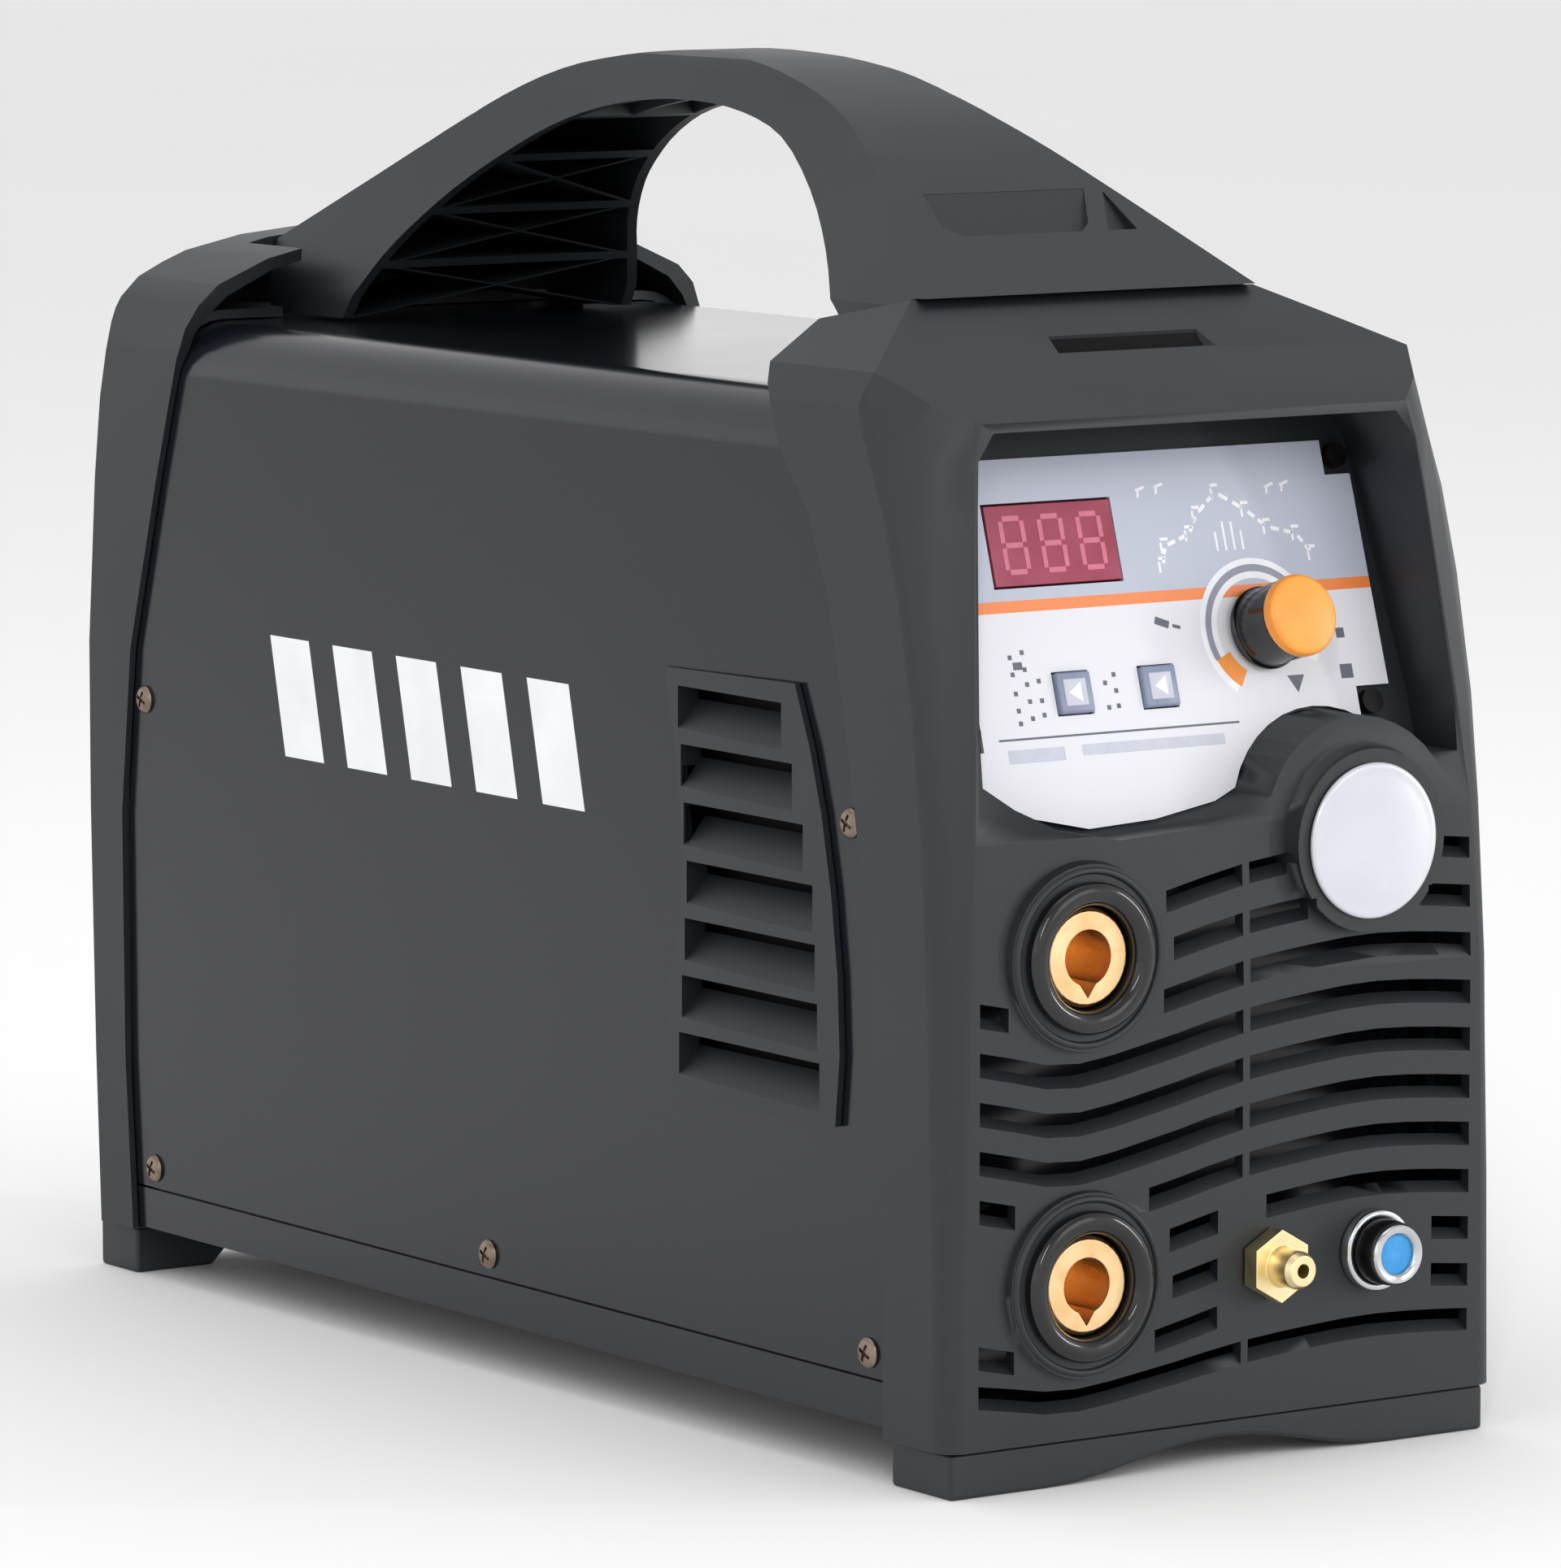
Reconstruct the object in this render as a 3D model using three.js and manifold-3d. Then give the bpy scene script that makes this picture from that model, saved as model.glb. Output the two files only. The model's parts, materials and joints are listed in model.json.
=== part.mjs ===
// Inverter TIG welding machine: a sheet steel body between two moulded end bezels, with an arched carrying handle.
// Millimetres, +Z up. The machine is drawn with its front face at y = 0 and its back at +y,
// then the whole group is moved so that the origin is the bottom centre of its box.
import * as THREE from 'three';
import { mergeVertices } from 'three/addons/utils/BufferGeometryUtils.js';
import Module from 'manifold-3d';

const wasm = await Module();
wasm.setup();

// ---- driving dimensions ----
const gap = 0.3;                    // clearance between touching pieces
const halfWidth = 80;               // bezels, half of the 160 mm width
const bodyLength = 389;             // front face to the back of the rear bezel
const frontMost = -13;              // tip of the gas outlet
const rearMost = 400;               // tip of the gas inlet
const wall = 3;                     // moulded wall
const sheet = 1.4;                  // steel sheet
const coverHalf = 78;               // outer_cover, half width
const coverTop = 249;
const coverCorner = 14;             // bend radius along the cover's top edges
const seamZ = 23.9;                 // joint between cover and base tray
const trayBottom = 13.2;
const trayFront = 20;
const coverBack = 366;
const footTop = 11;                 // top of the front foot
const roofAngle = 29.8;             // slope of the bezel's roof, degrees
const roofRidge = { y: 57.8, z: 269.6 };        // from here the roof runs down to the back
const roofRearSlope = 0.225;
const panelLean = 17;               // control panel leans back, degrees
const panelAt = { y: 22, z: 175 };  // a point on the control panel's face
const socketX = -41.5;
const socketZ = { upper: 122.6, lower: 46.8 };
const socketBore = 6.5;             // 13 mm bayonet output socket
const gasOutletAt = { x: 12, z: 46.5 };
const torchSocketAt = { x: 42.4, z: 47 };
const badgeAt = { x: 39, z: 144 };
const badgeRadius = 18.3;
const humpRadius = 28.5;
const knobAt = { x: 27.7, s: 16.7 };            // s runs up the control panel from panelAt
const buttonsAt = { left: -29, right: -4.5, s: 5.2 };
const displayAt = { x: -27.5, s: 40.5, width: 36, height: 19 };
const slitPitch = 11.26;
const slitCount = 11;
const slitMouth = 5.6;              // height of a slit at the grille's face
const slitThroat = 2.4;             // height behind its sloping lower edge
const slitDepth = 4;
const lowestSlitZ = 26.8;           // at the right-hand end of the lowest slit
const fanAt = { z: 148, size: 119, depth: 38, y: 341 };
const rearPanelY = 380;
const switchAt = { x: -42, z: 58 };
const glandAt = { x: 4, z: 46 };
const gasInletAt = { x: 46, z: 56 };
const ventRise = 1.9;               // the vent's front edge stands this far out of the cover
const coverScrews = [[33.5, 29.8], [195, 29.6], [354.5, 29.3], [41, 151.8], [357.5, 151]];   // y, z on each side

// ---- materials ----
const material = (color, roughness, metalness = 0) =>
  new THREE.MeshStandardMaterial({ color, roughness, metalness });
const charcoalPlastic = material('#3e4143', 0.62);
const blackPlastic = material('#1d1e20', 0.5);
const paintedSteel = material('#3f4043', 0.42, 0.1);
const brass = material('#d9a765', 0.3, 1);
const nickel = material('#c4c6c8', 0.22, 1);
const rubber = material('#232426', 0.85);
const aluminium = material('#b7babd', 0.4, 1);
const copper = material('#b87048', 0.35, 1);
const boardGreen = material('#1f5a3a', 0.55);
const labelGrey = material('#c4c8d0', 0.45);
const orange = material('#f09a2c', 0.4);
const screwZinc = material('#8d7a68', 0.4, 0.9);

// ---- solids ----
function solid(geometry) {
  const bare = geometry.clone();
  bare.deleteAttribute('normal');
  bare.deleteAttribute('uv');
  const merged = mergeVertices(bare, 1e-4);
  return new wasm.Manifold(new wasm.Mesh({
    numProp: 3,
    vertProperties: merged.attributes.position.array,
    triVerts: new Uint32Array(merged.index.array),
  }));
}

function geometryOf(body) {
  const mesh = body.getMesh();
  const geometry = new THREE.BufferGeometry();
  geometry.setAttribute('position', new THREE.BufferAttribute(mesh.vertProperties, 3));
  geometry.setIndex(new THREE.BufferAttribute(mesh.triVerts, 1));
  const faceted = geometry.toNonIndexed();
  faceted.computeVertexNormals();
  return faceted;
}

const join = (first, ...rest) => rest.reduce((body, other) => body.add(other), first);
const cut = (first, ...rest) => rest.reduce((body, other) => body.subtract(other), first);

function shapeOf(points) {
  return new THREE.Shape(points.map(([u, v]) => new THREE.Vector2(u, v)));
}

// A closed outline pushed along one axis: [y, z] points along X, [x, z] points along Y, [x, y] points along Z.
function alongX(points, x0, x1) {
  const geometry = new THREE.ExtrudeGeometry(shapeOf(points), { depth: x1 - x0, bevelEnabled: false });
  const turn = new THREE.Matrix4().makeBasis(
    new THREE.Vector3(0, 1, 0), new THREE.Vector3(0, 0, 1), new THREE.Vector3(1, 0, 0));
  return solid(geometry.applyMatrix4(turn).translate(x0, 0, 0));
}

function alongY(points, y0, y1) {
  const geometry = new THREE.ExtrudeGeometry(shapeOf(points), { depth: y1 - y0, bevelEnabled: false });
  return solid(geometry.rotateX(Math.PI / 2).translate(0, y1, 0));
}

function alongZ(points, z0, z1) {
  const geometry = new THREE.ExtrudeGeometry(shapeOf(points), { depth: z1 - z0, bevelEnabled: false });
  return solid(geometry.translate(0, 0, z0));
}

function box(x0, x1, y0, y1, z0, z1) {
  const geometry = new THREE.BoxGeometry(x1 - x0, y1 - y0, z1 - z0);
  return solid(geometry.translate((x0 + x1) / 2, (y0 + y1) / 2, (z0 + z1) / 2));
}

// A round bar or cone along Y, with its radius at each end.
function rodY(x, z, y0, y1, r0, r1 = r0, sides = 32) {
  const geometry = new THREE.CylinderGeometry(r1, r0, y1 - y0, sides);
  return solid(geometry.translate(x, (y0 + y1) / 2, z));
}

function rodX(y, z, x0, x1, radius, sides = 16) {
  const geometry = new THREE.CylinderGeometry(radius, radius, x1 - x0, sides);
  return solid(geometry.rotateZ(Math.PI / 2).translate((x0 + x1) / 2, y, z));
}

function rodZ(x, y, z0, z1, radius, sides = 24) {
  const geometry = new THREE.CylinderGeometry(radius, radius, z1 - z0, sides);
  return solid(geometry.rotateX(Math.PI / 2).translate(x, y, (z0 + z1) / 2));
}

// A turned piece along Y from a closed [radius, y] outline that starts and ends on the axis.
function turned(profile, sides = 28) {
  const outline = profile.map(([r, y]) => new THREE.Vector2(r, y));
  if (THREE.ShapeUtils.isClockWise(outline)) outline.reverse();
  return solid(new THREE.LatheGeometry(outline, sides));
}

// A solid through level outlines of equal point count, one for each height, from the bottom up.
// `tilt` turns it about X, so that heights can run along Y.
function loft(outlines, heights, tilt = 0) {
  const count = outlines[0].length;
  const positions = outlines.flatMap((outline, level) => outline.flatMap(([x, y]) => [x, y, heights[level]]));
  const index = [];
  for (let level = 0; level < outlines.length - 1; level += 1) {
    for (let i = 0; i < count; i += 1) {
      const a = level * count + i;
      const b = level * count + ((i + 1) % count);
      index.push(a, b, b + count, a, b + count, a + count);
    }
  }
  const lastLevel = (outlines.length - 1) * count;
  const contour = (outline) => outline.map(([x, y]) => new THREE.Vector2(x, y));
  THREE.ShapeUtils.triangulateShape(contour(outlines[0]), []).forEach(([a, b, c]) => index.push(a, c, b));
  THREE.ShapeUtils.triangulateShape(contour(outlines.at(-1)), [])
    .forEach(([a, b, c]) => index.push(lastLevel + a, lastLevel + b, lastLevel + c));
  const geometry = new THREE.BufferGeometry();
  geometry.setAttribute('position', new THREE.Float32BufferAttribute(positions, 3));
  geometry.setIndex(index);
  return solid(geometry.rotateX(-tilt));
}

function smooth(points, steps) {
  const curve = new THREE.SplineCurve(points.map(([u, v]) => new THREE.Vector2(u, v)));
  return curve.getPoints(steps).map((p) => [p.x, p.y]);
}

const radians = THREE.MathUtils.degToRad;
const panelY = (z) => panelAt.y + (z - panelAt.z) * Math.tan(radians(panelLean));

function roundedU(half, top, corner, bottom) {
  const arc = [];
  for (let step = 0; step <= 6; step += 1) {
    const angle = (Math.PI / 2) * (step / 6);
    arc.push([half - corner + corner * Math.cos(angle), top - corner + corner * Math.sin(angle)]);
  }
  return [[half, bottom], ...arc, ...arc.toReversed().map(([x, z]) => [-x, z]), [-half, bottom]];
}

// ---- assembly helpers ----
const machine = new THREE.Group();
machine.position.y = -(frontMost + rearMost) / 2;

function addPart(name, body, finish, parent = machine) {
  const mesh = new THREE.Mesh(geometryOf(body), finish);
  mesh.name = name;
  parent.add(mesh);
  return mesh;
}

// ---- front bezel ----
// The plan outline at each height: flat front out to `flat`, a canted flank to the corner, and the rear edge.
const frontStations = [
  { z: footTop, flat: 75, front: 0.4, corner: 2.8, back: 25.4 },
  { z: 62, flat: 74.5, front: 0, corner: 3.6, back: 25.4 },
  { z: 114, flat: 73.5, front: 0, corner: 5.4, back: 30 },
  { z: 150, flat: 71.5, front: 1.2, corner: 8, back: 36 },
  { z: 175, flat: 69.5, front: 4, corner: 11, back: 40.6 },
  { z: 203, flat: 67, front: 8, corner: 16.8, back: 47.5 },
  { z: 223, flat: 65, front: 10.8, corner: 22.8, back: 56 },
  { z: 236, flat: 63.5, front: 12.6, corner: 28.6, back: 67 },
  { z: 248, flat: 60, front: 14.2, corner: 33.5, back: 71.5 },
  { z: 275, flat: 50, front: 18, corner: 44, back: 86 },
];

function frontOutline(s, inset) {
  const side = halfWidth - inset;
  const flat = s.flat - inset * 0.6;
  const front = s.front + inset;
  const corner = s.corner + inset;
  const bulge = (s.corner - s.front) * 0.12;
  const half = [
    [flat, front],
    [(flat + side) / 2, (front + corner) / 2 - bulge],
    [side - 1.2, corner - 0.6],
    [side, corner + 2.5],
    [side, inset > 0 ? s.back + 20 : s.back],
  ];
  return [...half.toReversed().map(([x, y]) => [-x, y]), ...half];
}

function bezelRoof(drop) {
  const slope = Math.tan(radians(roofAngle));
  const ridge = [roofRidge.y, roofRidge.z - drop];
  const back = ridge[1] - (110 - ridge[0]) * roofRearSlope;
  return [[-20, 0], [110, 0], [110, back], ridge, [-20, ridge[1] - (ridge[0] + 20) * slope]];
}

function bezelShoulder(drop) {
  const half = halfWidth - drop;
  const right = [[half, 247 - drop / 2], [half - 0.8, 251 - drop / 2], [half - 3.2, 255.6 - drop],
    [62 - drop * 0.4, 263.3 - drop], [49.5, 269.6 - drop]];
  return [[half, 0], ...right, ...right.toReversed().map(([x, z]) => [-x, z]), [-half, 0]];
}

// The space of the cover and tray, whose front edge leans back inside the front bezel.
function coverEnvelope(grow) {
  const side = [[trayFront - grow, 0], [trayFront - grow, 110], [35 - grow, 203], [56 - grow, 262],
    [coverBack + grow, 262], [coverBack + grow, 0]];
  return alongY(roundedU(coverHalf + grow, coverTop + grow, coverCorner, trayBottom - grow), 0, 380)
    .intersect(alongX(side, -90, 90));
}

function bezelEnvelope(inset) {
  const heights = frontStations.map((s) => s.z);
  heights[0] += inset;
  return loft(frontStations.map((s) => frontOutline(s, inset)), heights)
    .intersect(alongX(bezelRoof(inset), -90, 90))
    .intersect(alongY(bezelShoulder(inset), -25, 115));
}

function arcPoints(cx, cz, radius, from, to, steps) {
  const points = [];
  for (let i = 0; i <= steps; i += 1) {
    const angle = radians(from + ((to - from) * i) / steps);
    points.push([cx + radius * Math.cos(angle), cz + radius * Math.sin(angle)]);
  }
  return points;
}

// The mouth of the control recess, seen from the front.
const recessMouth = [
  ...arcPoints(badgeAt.x, badgeAt.z, humpRadius, 36, 156, 12),
  [6, 152.6], [-12, 149.6], [-31, 148.6], [-48, 152], [-60, 157.5], [-68.5, 163],
  [-68.5, 175], [-66, 203], [-64.2, 223], [-62.8, 236], [-58, 242.2],
  [58, 242.2], [62.8, 236], [64.2, 223], [66, 203], [68.5, 175], [68.5, 162.5],
];

// What lies in front of the control panel's face, from `behind` millimetres behind it.
function beforePanel(behind) {
  return alongX([[-30, 130], [panelY(130) + behind, 130], [panelY(262) + behind, 262], [-30, 262]], -79, 79);
}

// Height of a grille slit's centre above its right-hand end, along the front.
const slitWave = new THREE.SplineCurve([[-76, -6], [-71, -7.4], [-47, -12.2], [-21, -8.6], [3, -3.7],
  [22, -1.3], [40, 0], [56, -0.6], [76, -2.4]].map(([x, z]) => new THREE.Vector2(x, z)));

function slitLift(x, slit) {
  const points = slitWave.points;
  const after = Math.max(1, points.findIndex((p) => p.x >= x));
  const share = (x - points[after - 1].x) / (points[after].x - points[after - 1].x);
  const lift = slitWave.getPoint((after - 1 + share) / (points.length - 1)).y;
  return 1.9 + lift * (slit === 0 ? 0.72 : 1);
}

// Where the front is left solid: the socket bosses, the badge, the gas and torch pad, the thin upright rib.
function solidFront(x, z) {
  const near = (cx, cz, radius) => Math.hypot(x - cx, z - cz) < radius;
  const besideSockets = x < -20 && (z > 113 || (z > 34 && z < 64));
  const connectorPad = x > -3 && x < 60 && z > 32 && z < 60;
  const uprightRib = Math.abs(x - 5) < 1;
  return near(socketX, socketZ.upper, 25) || near(socketX, socketZ.lower, 25)
    || near(badgeAt.x, badgeAt.z, 22) || besideSockets || connectorPad || uprightRib;
}

function grilleSlits() {
  const slits = [];
  for (let slit = 0; slit < slitCount; slit += 1) {
    const baseZ = lowestSlitZ + slit * slitPitch;
    const centre = (x) => baseZ + slitLift(x, slit);
    let run = [];
    for (let x = -71; x <= 72; x += 1) {
      const open = x <= 71 && !solidFront(x, centre(x));
      if (open) run.push(x);
      if (!open && run.length > 5) slits.push(slitCutter(run, centre));
      if (!open) run = [];
    }
  }
  return slits;
}

// One slit, open to the front at full height and narrowing behind to a throat along its upper edge.
function slitCutter(run, centre) {
  const steps = Math.max(1, Math.round((run.at(-1) - run[0]) / 9));
  const xs = Array.from({ length: steps + 1 }, (_, i) => run[0] + ((run.at(-1) - run[0]) * i) / steps);
  const outline = (height) => {
    const top = slitMouth / 2;
    const lower = xs.map((x) => [x, -(centre(x) + top - height)]);
    const upper = xs.map((x) => [x, -(centre(x) + top)]);
    return [...upper, ...lower.toReversed()];
  };
  const stages = [slitMouth + 0.8, slitMouth, slitThroat, slitThroat].map(outline);
  return loft(stages, [-6, 0, slitDepth, 9], Math.PI / 2);
}

// A window through the control panel's floor: a box square to the leaning panel.
function panelBox(x0, x1, y0, y1, s0, s1) {
  const geometry = new THREE.BoxGeometry(x1 - x0, y1 - y0, s1 - s0);
  geometry.translate((x0 + x1) / 2, (y0 + y1) / 2, (s0 + s1) / 2);
  return solid(geometry.rotateX(radians(-panelLean)).translate(0, panelAt.y, panelAt.z));
}

function panelRod(x, s, y0, y1, radius, sides = 24) {
  const geometry = new THREE.CylinderGeometry(radius, radius, y1 - y0, sides);
  geometry.translate(x, (y0 + y1) / 2, s);
  return solid(geometry.rotateX(radians(-panelLean)).translate(0, panelAt.y, panelAt.z));
}

const displayWindow = (grow, y0, y1) => panelBox(
  displayAt.x - displayAt.width / 2 - grow, displayAt.x + displayAt.width / 2 + grow, y0, y1,
  displayAt.s - displayAt.height / 2 - grow, displayAt.s + displayAt.height / 2 + grow);

const buttonHalf = 4.8;
const buttonWindow = (x, grow, y0, y1) => panelBox(
  x - buttonHalf - grow, x + buttonHalf + grow, y0, y1,
  buttonsAt.s - buttonHalf - grow, buttonsAt.s + buttonHalf + grow);

function controlWindows(y0, y1) {
  return [
    displayWindow(0.5, y0, y1),
    buttonWindow(buttonsAt.left, 0.4, y0, y1),
    buttonWindow(buttonsAt.right, 0.4, y0, y1),
    panelRod(knobAt.x, knobAt.s, y0, y1, 4.2),
  ];
}

const labelScrewsAt = [[58.4, 57], [-58.4, 57], [56.4, -2.2], [-60.2, -2.2]];   // x, s on the panel

function frontBezel() {
  const outer = bezelEnvelope(0);
  const recessBlock = alongY([[-72, 146], [72, 146], [71.5, 176], [66, 246], [-66, 246], [-71.5, 176]], -20, 60)
    .intersect(beforePanel(wall)).intersect(outer);
  const hump = rodY(badgeAt.x, badgeAt.z, -2.8, 23, 21.5, humpRadius, 40)
    .intersect(box(0, 72, -3, 23, badgeAt.z - 4, 190));
  const badgePad = rodY(badgeAt.x, badgeAt.z, -2.8, 3, 21.5, 21.5, 40);
  const socketBosses = Object.values(socketZ).map((z) => rodY(socketX, z, -1.5, 3.2, 21.6, 22.8, 40));
  const roofPocket = box(-24, 24, 34, 46, 244, 270).intersect(outer);
  const shell = join(outer.subtract(bezelEnvelope(wall)), recessBlock, roofPocket,
    hump.intersect(beforePanel(wall)), badgePad, ...socketBosses);
  const mouth = alongY(recessMouth, -25, 70).intersect(beforePanel(0));
  const frontHoles = [
    rodY(socketX, socketZ.upper, -9, 30, 15.6),
    rodY(socketX, socketZ.lower, -9, 30, 15.6),
    rodY(gasOutletAt.x, gasOutletAt.z, -5, 8, 5.3, 5.3, 24),
    rodY(torchSocketAt.x, torchSocketAt.z, -5, 8, 8.2, 8.2, 24),
    rodY(badgeAt.x, badgeAt.z, 0.4, 26, 18, 25, 32).intersect(box(0, 72, 0, 27, badgeAt.z - 30, 190)),
  ];
  const roofSlot = alongZ([[-24, 30], [24, 30], [20, 50], [-20, 50]], 240, 280)
    .intersect(alongX([[35.8, 240], [42.8, 240], [42.8, 275], [37.6, 275]], -30, 30))
    .intersect(alongX([[0, 249.5], [100, 252], [100, 290], [0, 290]], -30, 30));
  const screwHoles = labelScrewsAt.map(([x, s]) => panelRod(x, s, -2, 6, 1.7, 12));
  return cut(shell, mouth, coverEnvelope(gap), ...grilleSlits(), ...frontHoles, roofSlot,
    ...controlWindows(-1, wall + 2), ...screwHoles);
}

// ---- control panel ----
const labelOutline = [
  ...arcPoints(badgeAt.x, badgeAt.z, humpRadius + 0.8, 62, 155, 10),
  [6, 153.8], [-12, 150.9], [-31, 150], [-47, 153.4], [-62.5, 160.5],
  [-62.5, 168.6], [-56.6, 168.6], [-56.6, 177], [-62.5, 177], [-62, 225.6], [-54.6, 225.6], [-54.6, 233.6],
  [54.6, 233.6], [54.6, 225.6], [62, 225.6], [62.5, 177], [52.8, 177],
];

function controlLabel() {
  const slab = alongX([[panelY(140) - 1.5, 140], [panelY(140) - gap, 140],
    [panelY(240) - gap, 240], [panelY(240) - 1.5, 240]], -70, 70);
  return cut(alongY(labelOutline, -5, 70).intersect(slab), ...controlWindows(-3, 3));
}

function displayModule() {
  return join(displayWindow(0, -1.8, 6.5), displayWindow(1.6, 3.8, 8));
}

function pushButton(x) {
  return join(buttonWindow(x, 0, -2.8, 3.6), buttonWindow(x, 1, 3.4, 5));
}

function encoder() {
  const can = panelBox(knobAt.x - 6.5, knobAt.x + 6.5, 3.6, 9.4, knobAt.s - 6.5, knobAt.s + 6.5);
  const bushing = panelRod(knobAt.x, knobAt.s, -2.2, 4, 3.9);
  return cut(join(can, bushing), panelRod(knobAt.x, knobAt.s, -3, 8, 3.2, 16));
}

function controlBoard() {
  return panelBox(-58, 58, 9.8, 11.4, -16, 58);
}

// Knob pieces are turned about their own axis and set square to the panel.
const knobGroup = new THREE.Group();
knobGroup.position.set(knobAt.x, panelAt.y, panelAt.z);
knobGroup.rotation.x = radians(-panelLean);
knobGroup.translateZ(knobAt.s);

function knobBody() {
  const skirt = [[0, -3], [10.4, -3], [10.4, -4.2], [9.9, -5.2], [9.7, -15.6], [0, -15.6]];
  const stem = [[0, 6.5], [2.9, 6.5], [2.9, -6], [0, -6]];
  const recess = [[0, -14.2], [8.2, -14.2], [8.2, -16], [0, -16]];
  return cut(join(turned(skirt, 32), turned(stem, 16)), turned(recess, 32));
}

function knobCap() {
  const plug = [[0, -14.5], [7.9, -14.5], [7.9, -15.9], [9.7, -15.9], [9.7, -18.2], [9, -19.2], [6, -19.8],
    [0, -20]];
  return turned(plug, 32);
}

function panelScrew(x, s) {
  return join(panelRod(x, s, -2.4, -gap, 3, 16), panelRod(x, s, -1, 5, 1.4, 12));
}

// ---- front connections ----
function socketCollar(z) {
  const profile = [[12, -2.2], [12.9, -4.2], [15.8, -4.6], [17.2, -4], [17.7, -3], [17.7, -1.8], [15.2, -1.8],
    [15.2, 24], [12, 24], [12, -2.2]];
  return turned(profile, 32).translate(socketX, 0, z);
}

function socketInsert(z) {
  const body = turned([[0, 46], [5, 46], [5, 30], [11.6, 30], [11.6, -0.2], [10.7, -1.2], [0, -1.2]], 32)
    .translate(socketX, 0, z);
  const keyway = alongY([[-3.4, -4.5], [0, -9.4], [3.4, -4.5]], -4, 18).translate(socketX, 0, z);
  return cut(body, rodY(socketX, z, -4, 24, socketBore, socketBore, 32), keyway);
}

function gasOutlet() {
  const { x, z } = gasOutletAt;
  const hexagon = arcPoints(x, z, 8.7, 90, 390, 5);
  const nozzle = turned([[0, 16], [4.9, 16], [4.9, -5], [4.5, -6.2], [4.5, -11.4], [3.6, -13], [0, -13]], 28)
    .translate(x, 0, z);
  return cut(join(alongY(hexagon, -5, -gap), nozzle), rodY(x, z, -14, 17, 1.7, 1.7, 12));
}

function torchSocketShell() {
  const { x, z } = torchSocketAt;
  const barrel = turned([[6.6, -10.3], [7.4, -10.3], [7.9, -9.8], [7.9, 8], [6.6, 8], [6.6, -10.3]], 36)
    .translate(x, 0, z);
  const nut = cut(rodY(x, z, -3, -gap, 9.6, 9.6, 28), rodY(x, z, -4, 1, 7.5, 7.5, 36));
  return join(barrel, nut);
}

function torchSocketInsert() {
  const { x, z } = torchSocketAt;
  const keyway = box(x - 1, x + 1, -10, -6.5, z + 4.6, z + 7);
  return cut(rodY(x, z, -8.8, 12, 6.3, 6.3, 28), keyway);
}

function badge() {
  return turned([[0, -3.1], [badgeRadius, -3.1], [badgeRadius, -3.9], [17.2, -4.5], [9, -4.9], [0, -5]], 36)
    .translate(badgeAt.x, 0, badgeAt.z);
}

// ---- sheet metal body ----
const ventOutline = [[116.5, 181.2], [111.6, 160], [109.4, 143], [109.2, 128], [112.4, 114], [116, 103],
  [116.4, 80], [44.6, 81], [42.8, 97.6], [43.7, 116], [46.3, 135], [50.2, 153], [55, 168], [61.2, 182.2]];
const ventHoleOutline = (grow) => {
  const centre = [80, 131];
  return ventOutline.map(([y, z]) => [y + Math.sign(y - centre[0]) * grow, z + Math.sign(z - centre[1]) * grow]);
};

function outerCover() {
  const outside = coverEnvelope(0).intersect(box(-90, 90, 0, 400, seamZ + gap, 260));
  const inside = alongY(roundedU(coverHalf - sheet, coverTop - sheet, coverCorner - sheet, 0), 0, 400);
  const vents = alongX(ventHoleOutline(-1.4), -90, 90);
  const holes = coverScrews.map(([y, z]) => rodX(y, z, -90, 90, 2, 12));
  return cut(outside, inside, vents, ...holes);
}

// The left louvre insert; each louvre is deep at its top edge and runs out to the face below.
function sideVent() {
  const face = alongZ([[-coverHalf - ventRise, 40], [-coverHalf - ventRise, 54], [-coverHalf - 0.7, 118],
    [-70, 118], [-70, 40]], 70, 190);
  const flange = alongX(ventOutline, -coverHalf - ventRise, -coverHalf - gap);
  const body = alongX(ventHoleOutline(-2), -coverHalf - ventRise, -coverHalf + 5);
  const louvres = [];
  for (let row = 0; row < 7; row += 1) {
    const top = 177.2 - row * 13.7;
    const frontEnd = 51 + (top - 96) * 0.07 + Math.max(0, top - 138) * 0.26;
    const backEnd = 107 + Math.abs(top - 134) * 0.09;
    louvres.push(alongY([[-coverHalf - 3, top - 12.4], [-coverHalf + 6, top - 2.4], [-coverHalf + 6, top],
      [-coverHalf - 3, top]], frontEnd, backEnd));
  }
  return cut(join(flange, body).intersect(face), ...louvres);
}

function baseTray() {
  const out = coverHalf;
  const lip = coverHalf - sheet - gap;
  const right = [[out, trayBottom], [out, seamZ - gap], [lip, seamZ - gap], [lip, 36], [lip - sheet, 36],
    [lip - sheet, trayBottom + sheet]];
  const profile = [...right, ...right.toReversed().map(([x, z]) => [-x, z])];
  const holes = coverScrews.slice(0, 3).map(([y, z]) => rodX(y, z, -90, 90, 2, 12));
  return cut(alongY(profile, trayFront, coverBack - 2), ...holes);
}

// The plate behind the grille that carries the two sockets.
function socketPlate() {
  const plate = box(-74, 74, 27, 28.4, 16, 149);
  const hoseHole = rodY(16, 45.6, 26, 30, 7.5, 7.5, 20);
  const bores = Object.values(socketZ).map((z) => rodY(socketX, z, 26, 30, 12.2));
  return cut(plate, hoseHole, ...bores);
}

function coverScrew(y, z) {
  const head = turned([[0, 0], [3.6, 0], [3.6, 0.7], [2.4, 1.5], [0, 1.7]], 16);
  const shank = turned([[0, -5], [1.6, -5], [1.6, 0.4], [0, 0.4]], 12);
  return { head: head.add(shank), y, z };
}

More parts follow.
